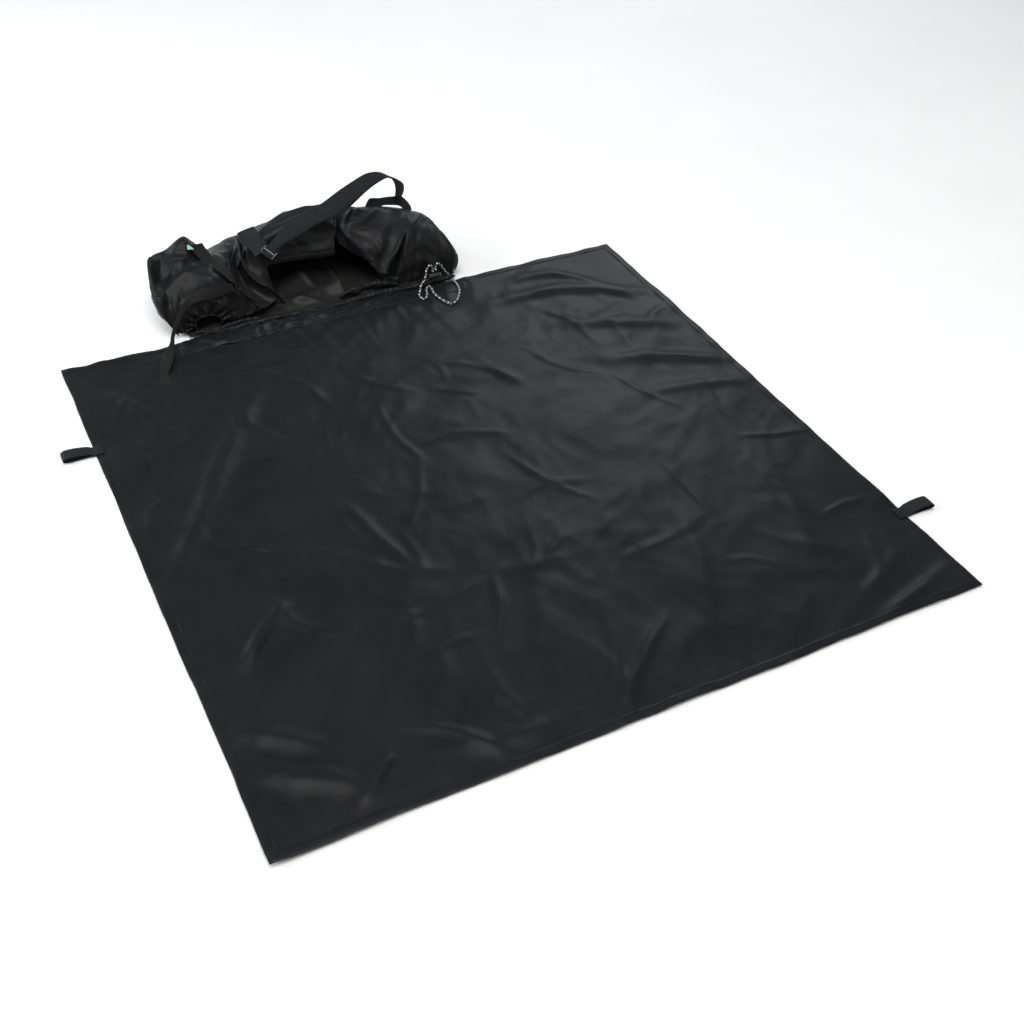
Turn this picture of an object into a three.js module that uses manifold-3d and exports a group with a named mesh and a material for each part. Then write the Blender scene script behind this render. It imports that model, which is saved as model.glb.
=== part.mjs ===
// Rope storage bag: a crumpled nylon sack with a drawcord mouth, sewn along the back edge of a square ground sheet.
// Units are millimetres. +X runs along the sheet's back edge, +Y from the front edge towards the bag, +Z up.
// The origin is the centre of the ground sheet, on its underside.
import * as THREE from "three";
import { mergeVertices } from "three/addons/utils/BufferGeometryUtils.js";
import Module from "manifold-3d";

// ---------------------------------------------------------------- driving dimensions
const SHEET = 1200; // side of the square ground sheet
const CLOTH = 1.6; // stand-in thickness of one cloth layer of the sheet
const HEM_WIDTH = 15; // folded and stitched edge
const HEM_THICK = 2.4;
const FOLD_Y = -40; // line where the front half of the sheet folds back
const GAP = 0.35; // clearance between touching pieces
const SHELL = 2.4; // stand-in thickness of the sack's panels
const CORD_D = 4.0; // drawcord diameter
const CHANNEL_R = 5.0; // outer radius of the drawcord channels
const CHANNEL_BORE_R = 2.6;
const WEBBING = 2.0; // webbing thickness
const TAB_WIDTH = 25; // side tab webbing width
const TAB_REACH = 57; // how far a side tab stands out of the edge
const LEFT_TAB_Y = 331;
const RIGHT_TAB_Y = -405;
const BAND = { x0: -375, x1: 235, y0: 548, y1: 590 }; // doubled seam allowance where the sack is sewn to the sheet
const FLOOR = { x0: -352, x1: 232, y0: 604, y1: 896 }; // bottom panel of the sack
const LOCK = { cy: 607, cz: 20, lean: [0, 0.316, 0.949], strandA: 177.5, strandB: 184.5, r: 6.5, x0: 166, x1: 190.5, boreR: 5.0, boreX0: 167.6, plungerR: 4.7, travel: 3 };

// ---------------------------------------------------------------- shape control points
// Each row is one line over the sack from its front edge, over the top, to the floor behind.
const LEFT_HOOD = [
  [[-366,622,6], [-366,665,6], [-363,720,6], [-360,770,6], [-356,810,6], [-350,850,6], [-340,885,6]],
  [[-369.5,622,11.8], [-385.1,640,53.8], [-387.9,680,86.2], [-383.3,720,110.4], [-370.6,765,101.6], [-357,820,50], [-337,890,6]],
  [[-347.9,622,8.4], [-363.1,640,48.1], [-365.4,680,78.4], [-358.7,720,102.4], [-335.8,765,118.4], [-330,830,64], [-312,893,6]],
  [[-321.9,622,6.2], [-335.5,640,45.6], [-335.2,680,80.1], [-321.6,720,109.4], [-298.7,765,136.9], [-290,835,74], [-282,895,6]],
  [[-285.3,622,5.9], [-301.9,637,48], [-302,670,79.8], [-293,710,103.6], [-272,770,111.6], [-263,835,62], [-256,897,6]],
  [[-238.9,622,14.9], [-264.5,637,54.7], [-274,660,85.3], [-272.1,700,99.5], [-245.9,780,81], [-240,838,55], [-234,898,6]],
  [[-187.8,622,25.2], [-213.4,637,51.1], [-236.3,655,72.1], [-238.2,700,91.6], [-203.1,780,85.2], [-208,840,60], [-205,900,6]],
];
const BACK_PANEL = [
  [[-169.6,672,58.2], [-185.2,690,93.6], [-186.5,720,105.6], [-179.9,760,104.1], [-171.2,790,93.8], [-186,843,66], [-186,900,6]],
  [[-122.5,700,71.4], [-133.4,715,105.3], [-137.9,740,123.2], [-132.9,775,118.3], [-118.8,800,109.7], [-130,848,74], [-135,902,6]],
  [[-81.7,700,69], [-77.9,715,102], [-73.1,740,129.6], [-59.9,775,137], [-47,800,131.3], [-60,850,80], [-65,903,6]],
  [[-38.4,700,63.6], [-30.5,715,96.1], [-19.2,740,122.6], [-3.3,775,129.7], [8,800,124.5], [-10,850,78], [-10,903,6]],
  [[-5.3,700,63.1], [-0.1,715,89.3], [8.6,740,109.7], [29.4,775,118.2], [43.4,800,114.9], [34,846,72], [40,902,6]],
];
const RIGHT_HOOD = [
  [[80,622,20.5], [58,642,53.1], [35.4,670,90.5], [19.3,710,113.1], [52.4,770,122.8], [50,840,65], [56,900,6]],
  [[102.3,622,5.5], [96.2,637,46.8], [80.2,665,90], [61.7,710,115.4], [86.2,770,120.4], [90,840,64], [92,900,6]],
  [[129.7,622,5.2], [130.4,637,48.3], [132.1,665,90.1], [129.3,710,112.6], [138.8,765,111.9], [128,838,60], [126,898,6]],
  [[162.1,622,5.2], [169.4,637,46.4], [168.8,660,89.2], [168.4,700,109.1], [180.7,755,100.9], [168,832,54], [162,894,6]],
  [[194.9,622,5.2], [205.2,634,46.9], [203.4,655,79.4], [200.8,690,95.4], [213.8,740,89.4], [205,818,42], [194,882,6]],
  [[217.5,620,5.6], [240,628,27.6], [236.1,645,55.8], [226.5,675,76], [223.6,720,80.4], [236,782,34], [222,850,6]],
  [[232,622,6], [240,645,6], [247,675,6], [250,708,6], [247,745,6], [240,785,6], [228,832,6]],
];
// Straps: pairs of edge points, one pair for each station along the webbing.
const STRAP = [
  [[-155.5,664.4,106], [-167.1,679.5,114.8]],
  [[-145.5,669.4,110.4], [-157.2,684.6,119.2]],
  [[-132.3,676.2,116.3], [-143.9,691.3,125.1]],
  [[-120.7,682.1,121.5], [-132.3,697.2,130.3]],
  [[-80.6,690,129], [-97.5,715,149.4]],
  [[-38.5,700,140.8], [-54.7,725,159]],
  [[15.9,712,147.1], [-13,737,165.9]],
  [[43.2,720,155.6], [26.6,747,180]],
  [[79.8,730,174.1], [63.5,755,191.4]],
  [[108.2,740,182.7], [95.5,762,198.7]],
  [[135,750,185.7], [124,766,194.8]],
  [[149.1,757,179.3], [148.1,768,180.2]],
];
const STRAP_END = [
  [[152.6,757,175.2], [167.2,768,169.1]],
  [[156.9,757,165.3], [179.9,766,157.7]],
  [[158.5,757,151.2], [181,764,145.7]],
  [[157,757,138.8], [176.8,763,133.1]],
];
const LEFT_ANCHOR = [
  [[-195.1,742.0,133.9], [-152.9,766.0,128.4]],
  [[-196.7,716.0,126.4], [-150.4,736.0,124.0]],
  [[-183.2,693.0,116.2], [-151.3,707.0,115.3]],
  [[-180.3,678,110.5], [-159.6,686,112.9]],
];
const TAIL_UPPER = [
  [[-292.5,742.0,127.2], [-264.3,758.0,119.4]],
  [[-289.8,728.0,118.1], [-259.9,742.0,110.8]],
  [[-273.8,700.0,102.2], [-251.0,712.0,99.5]],
  [[-258.6,672.0,97.7], [-235.1,680.0,93.5]],
  [[-244.5,650.0,85.9], [-233.0,644.0,77.3]],
];
const TAIL_LOWER = [
  [[-243.1,642.0,84.3], [-238.8,635.0,70.0]],
  [[-279.1,643.0,85.7], [-285.3,631.0,65.5]],
  [[-306.1,652.0,81.7], [-316.7,634.0,64.9]],
  [[-334.1,648.0,68.2], [-331.0,636.0,58.2]],
  [[-353.7,633.0,58.9], [-349.4,624.0,51.5]],
  [[-371.4,617.0,43.0], [-366.4,610.0,36.6]],
  [[-384.8,604.0,23.2], [-379.9,599.0,19.1]],
  [[-398.4,559.9,34.0], [-392.5,547.8,26.0]],
  [[-417.0,553.9,13.0], [-403.2,530.8,12.0]],
  [[-430.7,524.7,7.5], [-418.0,508.1,7.5]],
  [[-437.9,499.7,4.8], [-420.3,497.1,4.8]],
  [[-440.0,451.2,4.8], [-420.9,454.8,4.8]],
  [[-443.3,415.5,4.8], [-417.9,441.2,4.8]],
];
const RIGHT_ANCHOR = [
  [[94.6,762,127.1], [104,770,136.4]],
  [[117.7,763,123.7], [125.6,770,133.2]],
  [[136.9,765,123.3], [143.9,770,132.3]],
  [[155.3,765,120.2], [162.3,770,129.9]],
  [[170.6,763,116.8], [177.7,768,126.8]],
  [[180.4,754,106.2], [192.4,760,107.9]],
];
const SLIDER_A = [-145.5,669.4,110.4], SLIDER_B = [-157.2,684.6,119.2], SLIDER_DIR = [0.8278, 0.4230, 0.3686];
const CORD_LOOP_RAW = [
  [177.5,610,28.9], [177.5,612.9,37.6], [176.4,613.9,40.6], [172.6,613.6,42.6], [167.4,612,41.4], [163,609.5,36.5], [159.6,606,28.5], [156,602,21.5], [151,599.2,16.8], [144,594,15], [137.5,586,10.5], [132.5,577,6.2], [130.2,576.3,5.8], [127.5,559,5.8], [134,552.7,5.8], [144.3,565.8,5.8], [151.6,585.1,5.8], [160.9,595.5,5.8], [162.9,584.5,5.8], [159.9,568.4,5.8], [160.8,550.2,5.8], [165.4,532.8,5.8], [170.7,519.7,5.8], [179.4,513.8,5.8], [194.1,523,5.8], [210.2,547.4,5.8], [218.5,572.2,5.8], [219,606,7.8], [214,612.3,13], [207,614,22], [202,614.4,30], [198.6,614.8,36.5], [194.2,615.2,41.2], [189.4,614.8,42.6], [185.8,613.8,40.4], [184.5,612.9,37.6], [184.5,610,28.9]
];

// ---------------------------------------------------------------- helpers
const V = (p) => new THREE.Vector3(p[0], p[1], p[2]);
const spline = (pts) => new THREE.CatmullRomCurve3(pts.map((p) => (p.isVector3 ? p : V(p))), false, "catmullrom", 0.5);

// Samples a spline through pts with n steps between neighbours, passing every point.
function through(pts, n) {
  const c = spline(pts), out = [];
  const steps = (pts.length - 1) * n;
  for (let i = 0; i <= steps; i++) out.push(c.getPoint(i / steps));
  return out;
}

function geometry(verts, tris) {
  const g = new THREE.BufferGeometry();
  g.setAttribute("position", new THREE.Float32BufferAttribute(verts.flatMap((v) => [v.x, v.y, v.z]), 3));
  g.setIndex(tris.flat());
  return g;
}

// Turns the faces outwards if the signed volume says they point in.
function outward(g) {
  const p = g.getAttribute("position"), ix = g.index.array;
  const a = new THREE.Vector3(), b = new THREE.Vector3(), c = new THREE.Vector3();
  let vol = 0;
  for (let i = 0; i < ix.length; i += 3) {
    a.fromBufferAttribute(p, ix[i]); b.fromBufferAttribute(p, ix[i + 1]); c.fromBufferAttribute(p, ix[i + 2]);
    vol += a.dot(b.cross(c));
  }
  if (vol < 0) for (let i = 0; i < ix.length; i += 3) [ix[i + 1], ix[i + 2]] = [ix[i + 2], ix[i + 1]];
  g.computeVertexNormals();
  return g;
}

// A closed cloth panel: a smooth surface through a grid of control points, given a thickness.
function panel(grid, nu, nv, t) {
  const along = grid.map((row) => through(row, nv)); // each control row refined
  const cols = along[0].length, refined = [];
  for (let j = 0; j < cols; j++) refined.push(through(along.map((r) => r[j]), nu));
  const W = refined[0].length, H = cols; // refined[j][i]
  const at = (i, j) => refined[Math.min(Math.max(j, 0), H - 1)][Math.min(Math.max(i, 0), W - 1)];
  const top = [], bottom = [];
  for (let j = 0; j < H; j++)
    for (let i = 0; i < W; i++) {
      const du = at(i + 1, j).clone().sub(at(i - 1, j)), dv = at(i, j + 1).clone().sub(at(i, j - 1));
      const n = du.cross(dv).normalize();
      top.push(at(i, j).clone().addScaledVector(n, t / 2));
      bottom.push(at(i, j).clone().addScaledVector(n, -t / 2));
    }
  const N = W * H, tris = [], id = (i, j) => j * W + i;
  for (let j = 0; j < H - 1; j++)
    for (let i = 0; i < W - 1; i++) {
      const a = id(i, j), b = id(i + 1, j), c = id(i + 1, j + 1), d = id(i, j + 1);
      tris.push([a, b, c], [a, c, d], [a + N, c + N, b + N], [a + N, d + N, c + N]);
    }
  const rim = [];
  for (let i = 0; i < W - 1; i++) rim.push([id(i + 1, 0), id(i, 0)]);
  for (let i = 0; i < W - 1; i++) rim.push([id(i, H - 1), id(i + 1, H - 1)]);
  for (let j = 0; j < H - 1; j++) rim.push([id(0, j), id(0, j + 1)]);
  for (let j = 0; j < H - 1; j++) rim.push([id(W - 1, j + 1), id(W - 1, j)]);
  for (const [a, b] of rim) tris.push([a, b, b + N], [a, b + N, a + N]);
  return outward(geometry(top.concat(bottom), tris));
}

// A closed strip of webbing between two edge lines.
function ribbon(stations, t, n = 2) {
  const A = through(stations.map((s) => s[0]), n), B = through(stations.map((s) => s[1]), n);
  const verts = [], tris = [], last = A.length - 1;
  for (let i = 0; i <= last; i++) {
    const p = Math.max(i - 1, 0), q = Math.min(i + 1, last);
    const mid = (k) => A[k].clone().add(B[k]).multiplyScalar(0.5);
    const tangent = mid(q).sub(mid(p)), w = B[i].clone().sub(A[i]);
    const nrm = tangent.cross(w).normalize().multiplyScalar(t / 2);
    verts.push(A[i].clone().add(nrm), B[i].clone().add(nrm), B[i].clone().sub(nrm), A[i].clone().sub(nrm));
    if (i < last)
      for (let k = 0; k < 4; k++) {
        const a = 4 * i + k, b = 4 * i + ((k + 1) % 4);
        tris.push([a, b, b + 4], [a, b + 4, a + 4]);
      }
  }
  const e = 4 * last;
  tris.push([0, 2, 1], [0, 3, 2], [e, e + 1, e + 2], [e, e + 2, e + 3]);
  return outward(geometry(verts, tris));
}

// Rings of a round section along a line of points, with frames that don't twist.
function frames(pts) {
  const T = pts.map((_, i) => pts[Math.min(i + 1, pts.length - 1)].clone().sub(pts[Math.max(i - 1, 0)]).normalize());
  let n = Math.abs(T[0].z) < 0.9 ? new THREE.Vector3(0, 0, 1) : new THREE.Vector3(0, 1, 0);
  return T.map((t) => {
    n = n.clone().addScaledVector(t, -n.dot(t)).normalize();
    return { n: n.clone(), b: t.clone().cross(n).normalize() };
  });
}
function ring(p, f, r, sides) {
  return Array.from({ length: sides }, (_, k) => {
    const a = (2 * Math.PI * k) / sides;
    return p.clone().addScaledVector(f.n, r * Math.cos(a)).addScaledVector(f.b, r * Math.sin(a));
  });
}
// A solid round cord, or a tube when bore is given, along points with their frames.
function sweep(pts, fr, r, sides, bore = 0) {
  const verts = [], tris = [], last = pts.length - 1;
  pts.forEach((p, i) => verts.push(...ring(p, fr[i], r, sides)));
  const side = (base, flip) => {
    for (let i = 0; i < last; i++)
      for (let k = 0; k < sides; k++) {
        const a = base + i * sides + k, b = base + i * sides + ((k + 1) % sides), c = a + sides, d = b + sides;
        flip ? tris.push([a, d, b], [a, c, d]) : tris.push([a, b, d], [a, d, c]);
      }
  };
  side(0, false);
  if (!bore) {
    for (const [i, flip] of [[0, true], [last, false]])
      for (let k = 1; k < sides - 1; k++) {
        const o = i * sides;
        tris.push(flip ? [o, o + k + 1, o + k] : [o, o + k, o + k + 1]);
      }
  } else {
    const base = verts.length;
    pts.forEach((p, i) => verts.push(...ring(p, fr[i], bore, sides)));
    side(base, true);
    for (const [i, flip] of [[0, false], [last, true]])
      for (let k = 0; k < sides; k++) {
        const a = i * sides + k, b = i * sides + ((k + 1) % sides), c = base + a, d = base + b;
        flip ? tris.push([a, b, d], [a, d, c]) : tris.push([a, d, b], [a, c, d]);
      }
  }
  return outward(geometry(verts, tris));
}

const wasm = await Module();
wasm.setup();
function solid(g) {
  const c = g.index ? g.clone() : g.clone();
  c.deleteAttribute("normal");
  if (c.getAttribute("uv")) c.deleteAttribute("uv");
  const m = mergeVertices(c, 1e-4);
  return new wasm.Manifold(new wasm.Mesh({ numProp: 3, vertProperties: new Float32Array(m.attributes.position.array), triVerts: new Uint32Array(m.index.array) }));
}
function back(s) {
  const m = s.getMesh(), g = new THREE.BufferGeometry();
  g.setAttribute("position", new THREE.Float32BufferAttribute(m.vertProperties, 3));
  g.setIndex(Array.from(m.triVerts));
  g.computeVertexNormals();
  return g;
}
function box(x0, x1, y0, y1, z0, z1) {
  const g = new THREE.BoxGeometry(x1 - x0, y1 - y0, z1 - z0);
  g.translate((x0 + x1) / 2, (y0 + y1) / 2, (z0 + z1) / 2);
  return g;
}
const join = (...gs) => back(gs.map(solid).reduce((a, b) => a.add(b)));

// ---------------------------------------------------------------- materials
const cloth = (hex) => new THREE.MeshStandardMaterial({ color: hex, roughness: 0.45, metalness: 0, side: THREE.DoubleSide });
const NYLON = () => cloth(0x26272a);
const LINING = () => cloth(0x1f1f1e);
const WEB = () => new THREE.MeshStandardMaterial({ color: 0x1d1d1f, roughness: 0.7, metalness: 0 });
const CORD = () => new THREE.MeshStandardMaterial({ color: 0x303030, roughness: 0.8, metalness: 0 });
const PLASTIC = () => new THREE.MeshStandardMaterial({ color: 0x18181a, roughness: 0.4, metalness: 0 });
const STEEL = () => new THREE.MeshStandardMaterial({ color: 0xa8a8a8, roughness: 0.35, metalness: 1 });
const LABEL = () => new THREE.MeshStandardMaterial({ color: 0x1f8f7a, roughness: 0.6, metalness: 0 });

const group = new THREE.Group();
group.name = "rope_storage_bag";
const sub = (name) => { const g = new THREE.Group(); g.name = name; group.add(g); return g; };
const sheetGroup = sub("sheet"), sackGroup = sub("sack"), cordGroup = sub("drawcord"), strapGroup = sub("straps");
function add(parent, name, geo, material) {
  const m = new THREE.Mesh(geo, material);
  m.name = name;
  parent.add(m);
  return m;
}

// ---------------------------------------------------------------- ground sheet, in two panels that meet at the fold line
const H = SHEET / 2;
const rearSheet = join(
  box(-H, H, FOLD_Y + GAP / 2, H, 0, CLOTH),
  box(-H, -H + HEM_WIDTH, FOLD_Y + GAP / 2, H, 0, HEM_THICK),
  box(H - HEM_WIDTH, H, FOLD_Y + GAP / 2, H, 0, HEM_THICK),
);
const frontSheet = join(
  box(-H, H, -H, FOLD_Y - GAP / 2, 0, CLOTH),
  box(-H, -H + HEM_WIDTH, -H, FOLD_Y - GAP / 2, 0, HEM_THICK),
  box(H - HEM_WIDTH, H, -H, FOLD_Y - GAP / 2, 0, HEM_THICK),
  box(-H, H, -H, -H + HEM_WIDTH, 0, HEM_THICK),
);
add(sheetGroup, "ground_sheet_rear", rearSheet, NYLON());
add(sheetGroup, "ground_sheet_front", frontSheet, NYLON());
add(sheetGroup, "mouth_seam_band", box(BAND.x0, BAND.x1, BAND.y0, BAND.y1, CLOTH + GAP, CLOTH + GAP + 1.4), NYLON());

// Webbing loop tabs: profile in (distance out of the edge, height), swept across the webbing width.
function tab(sign, y) {
  const outer = [[1, 2.7], [1, 4.5], [4, 5.6], [14, 8.4], [26, 11.6], [40, 13.2], [50, 12.2], [56, 9.2], [TAB_REACH, 6.2], [55, 3.0], [48, 1.2], [34, 0.6], [18, 0.9], [8, 1.8], [4, 2.4]];
  const inner = [[9, 3.9], [14, 6.4], [26, 10.2], [40, 11.8], [49, 10.9], [54, 8.4], [55.4, 6.2], [53.6, 3.8], [47, 2.6], [34, 2.0], [18, 2.3]];
  const extruded = (pts, depth, z0) => {
    const g = new THREE.ExtrudeGeometry(new THREE.Shape(pts.map(([s, z]) => new THREE.Vector2(s, z))), { depth, bevelEnabled: false, steps: 1 });
    g.translate(0, 0, z0);
    return solid(g);
  };
  const g = back(extruded(outer, TAB_WIDTH, 0).subtract(extruded(inner, TAB_WIDTH + 4, -2)));
  // The shape's x runs out of the sheet's edge, its y up, and the extrusion along the edge.
  const m = new THREE.Matrix4().makeBasis(new THREE.Vector3(sign, 0, 0), new THREE.Vector3(0, 0, 1), new THREE.Vector3(0, -sign, 0));
  g.applyMatrix4(m);
  g.translate(sign * H, y + (sign * TAB_WIDTH) / 2, 0);
  return g;
}
add(sheetGroup, "left_side_tab", tab(-1, LEFT_TAB_Y), WEB());
add(sheetGroup, "right_side_tab", tab(1, RIGHT_TAB_Y), WEB());
add(sheetGroup, "left_tab_sewn_end", box(-H + 1.8, -H + 14, LEFT_TAB_Y - TAB_WIDTH / 2, LEFT_TAB_Y + TAB_WIDTH / 2, HEM_THICK + GAP, HEM_THICK + GAP + 1.4), WEB());
add(sheetGroup, "right_tab_sewn_end", box(H - 14, H - 1.8, RIGHT_TAB_Y - TAB_WIDTH / 2, RIGHT_TAB_Y + TAB_WIDTH / 2, HEM_THICK + GAP, HEM_THICK + GAP + 1.4), WEB());

// ---------------------------------------------------------------- the sack
add(sackGroup, "bag_floor_panel", box(FLOOR.x0, FLOOR.x1, FLOOR.y0, FLOOR.y1, 0, CLOTH), LINING());
add(sackGroup, "left_end_hood", panel(LEFT_HOOD, 2, 2, SHELL), NYLON());
add(sackGroup, "back_panel", panel(BACK_PANEL, 2, 2, SHELL), NYLON());
add(sackGroup, "right_end_hood", panel(RIGHT_HOOD, 2, 2, SHELL), NYLON());
const labelAt = [[[-301, 742, 131.5], [-300, 748, 134.5]], [[-288, 735, 129.5], [-287, 741, 132.5]]];
add(sackGroup, "label_tab", ribbon(labelAt, 1.0, 1), LABEL());

// ---------------------------------------------------------------- drawcord: one closed run inside the hem channels, both ends through the cord lock
const RUN = [
  [LOCK.strandA, 609.8, 28.5], [LOCK.strandA, 607, 20], [LOCK.strandA, 604.2, 11.5], [177.1, 602.3, 9.2], [174.5, 599.6, 7.7], [168, 598, 7.4], [158, 598, 7.5],
  [110, 598.5, 7.5], [50, 597.5, 7.5], [0, 598.5, 7.5], [-50, 597.5, 7.5], [-100, 598.5, 7.5], [-150, 597.5, 7.5], [-200, 598, 7.5], [-250, 598, 7.5], [-300, 598, 7.5],
  [-316, 599, 8], [-322, 604.5, 8.6], [-316, 610, 9], [-300, 611, 8.8], [-250, 611, 8], [-212, 611, 10], [-190, 613, 17],
  [-179, 621, 27.5], [-204.4, 636, 50.5], [-227.9, 653.9, 69.1], [-231, 678, 81], [-229.4, 700, 89.5], [-219, 713, 93], [-205, 706, 93], [-196, 691, 91], [-186, 678, 74], [-172, 667, 56], [-150, 676, 54],
  [-120, 696.5, 62.5], [-82.6, 696.3, 60.2], [-40.3, 696.3, 55.2], [-12, 694, 56], [1, 695.5, 66], [6, 702, 84], [10.3, 709, 101], [15, 700, 106], [26.4, 671, 90.6], [49.2, 642, 55.6], [69, 624, 29], [84, 613, 14],
  [100, 611, 8], [130, 611, 7.5], [158, 611, 7.5], [170, 611, 7.3], [179, 609.3, 7.5], [183.6, 606, 8.8], [LOCK.strandB, 604.2, 11.5], [LOCK.strandB, 607, 20], [LOCK.strandB, 609.8, 28.5],
];
const RUN_STEP = 16;
function resample(pts, step) {
  const c = spline(pts);
  c.arcLengthDivisions = 2000;
  const n = Math.round(c.getLength() / step);
  return c.getSpacedPoints(n);
}
// The straight ends through the lock keep their own stations, so that they stay straight.
const runMid = resample(RUN.slice(2, RUN.length - 2), RUN_STEP);
const runPts = [V(RUN[0]), V(RUN[1]), ...runMid, V(RUN[RUN.length - 2]), V(RUN[RUN.length - 1])];
const runFr = frames(runPts);
add(cordGroup, "drawcord_run", sweep(runPts, runFr, CORD_D / 2, 8), CORD());
function nearest(p) {
  let best = 0;
  runPts.forEach((q, i) => { if (q.distanceTo(V(p)) < runPts[best].distanceTo(V(p))) best = i; });
  return best;
}
function channel(name, from, to) {
  const a = nearest(from), b = nearest(to);
  const pts = runPts.slice(a, b + 1), fr = runFr.slice(a, b + 1);
  add(cordGroup, name, sweep(pts, fr, CHANNEL_R, 8, CHANNEL_BORE_R), NYLON());
}
channel("hem_channel_front", [150, 598, 7.5], [-300, 598, 7.5]);
channel("hem_channel_left_foot", [-298, 611, 8.8], [-205, 611, 10]);
channel("hem_channel_left_rim", [-181, 621, 27.5], [-229.4, 700, 89.5]);
channel("hem_channel_back", [-165, 670, 55], [-20, 695, 56]);
channel("hem_channel_right_rim", [17, 695, 104], [69, 624, 29]);
channel("hem_channel_right_foot", [104, 611, 8], [152, 611, 7.5]);

// The free loop outside the lock, from one strand to the other.
const CORD_LOOP = CORD_LOOP_RAW;
const loopStart = CORD_LOOP.slice(0, 2).map(V), loopEnd = CORD_LOOP.slice(-2).map(V);
const loopMid = resample(CORD_LOOP.slice(1, -1), 7.2);
const loopPts = [loopStart[0], ...loopMid, loopEnd[1]];
add(cordGroup, "drawcord_loop", sweep(loopPts, frames(loopPts), CORD_D / 2, 8), CORD());

// Cord lock: a barrel with a cross slot for both strands and a sprung button. Its axis lies along X.
const lean = V(LOCK.lean).normalize();
const strandMid = (LOCK.strandA + LOCK.strandB) / 2;
function rod(r, x0, x1, sides = 20) {
  const g = new THREE.CylinderGeometry(r, r, x1 - x0, sides);
  g.rotateZ(Math.PI / 2);
  g.translate((x0 + x1) / 2, LOCK.cy, LOCK.cz);
  return g;
}
function slot(x0, x1, height, depth = 40) {
  const g = new THREE.BoxGeometry(x1 - x0, height, depth);
  const up = lean, across = new THREE.Vector3(0, up.z, -up.y);
  g.applyMatrix4(new THREE.Matrix4().makeBasis(new THREE.Vector3(1, 0, 0), across, up));
  g.translate((x0 + x1) / 2, LOCK.cy, LOCK.cz);
  return g;
}
const barrelProfile = [[0, 0], [4.6, 0], [LOCK.r - 0.6, 0.9], [LOCK.r, 2.4], [LOCK.r, 21], [LOCK.r - 0.3, 23.6], [LOCK.r - 0.8, 24.5], [0, 24.5]].map(([r, h]) => new THREE.Vector2(r, h));
const barrelSkin = new THREE.LatheGeometry(barrelProfile, 24);
barrelSkin.rotateZ(-Math.PI / 2);
barrelSkin.translate(LOCK.x0, LOCK.cy, LOCK.cz);
const barrel = solid(barrelSkin)
  .subtract(solid(rod(LOCK.boreR, LOCK.boreX0, LOCK.x1 + 2)))
  .subtract(solid(slot(LOCK.strandA - 2.6, LOCK.strandB + 2.6, 4.9)));
add(cordGroup, "cord_lock_barrel", back(barrel), PLASTIC());
const plunger = solid(rod(LOCK.plungerR, LOCK.strandA - 4.3, 194))
  .subtract(solid(slot(LOCK.strandA - 2.3, LOCK.strandB + 2.3 + LOCK.travel, 4.7)));
add(cordGroup, "cord_lock_button", back(plunger), PLASTIC());
// The return spring is drawn at its pressed length, in the bottom of the bore.
const springPts = [];
for (let i = 0; i <= 28; i++) {
  const a = (i / 14) * 2 * Math.PI;
  springPts.push(new THREE.Vector3(LOCK.boreX0 + 0.65 + (i / 28) * 1.5, LOCK.cy + 3.4 * Math.cos(a), LOCK.cz + 3.4 * Math.sin(a)));
}
add(cordGroup, "cord_lock_spring", sweep(springPts, frames(springPts), 0.3, 6), STEEL());

// ---------------------------------------------------------------- straps
add(strapGroup, "carry_strap", ribbon(STRAP, WEBBING), WEB());
add(strapGroup, "strap_end_webbing", ribbon(STRAP_END, WEBBING), WEB());
add(strapGroup, "anchor_webbing_right", ribbon(RIGHT_ANCHOR, WEBBING), WEB());
add(strapGroup, "anchor_webbing_left", ribbon(LEFT_ANCHOR, WEBBING), WEB());
add(strapGroup, "tail_webbing_upper", ribbon(TAIL_UPPER, WEBBING), WEB());
add(strapGroup, "tail_webbing_lower", ribbon(TAIL_LOWER, WEBBING), WEB());

// Tri-glide slider on the strap's narrow end: two low end bars, a raised centre bar and two side rails.
const c0 = V(SLIDER_A).add(V(SLIDER_B)).multiplyScalar(0.5);
const e1 = V(SLIDER_DIR).normalize();
const e2 = V(SLIDER_B).sub(V(SLIDER_A)).addScaledVector(e1, -V(SLIDER_B).sub(V(SLIDER_A)).dot(e1)).normalize();
const e3 = e1.clone().cross(e2).normalize();
function barAt(u0, u1, v0, v1, w0, w1) {
  const g = box(u0, u1, v0, v1, w0, w1);
  g.applyMatrix4(new THREE.Matrix4().makeBasis(e1, e2, e3));
  g.translate(c0.x, c0.y, c0.z);
  return g;
}
const SW = 12.4; // half the inside width, with clearance for the webbing
add(strapGroup, "strap_slider", join(
  barAt(-8.5, -5.5, -SW - 2, SW + 2, -3.8, -1.5),
  barAt(5.5, 8.5, -SW - 2, SW + 2, -3.8, -1.5),
  barAt(-1.6, 1.6, -SW - 2, SW + 2, 1.5, 3.4),
  barAt(-8.5, 8.5, -SW - 2.6, -SW, -3.8, 3.4),
  barAt(-8.5, 8.5, SW, SW + 2.6, -3.8, 3.4),
), PLASTIC());

export default group;
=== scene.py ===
import math

import bpy
import numpy as np
from mathutils import Matrix, Vector


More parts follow.
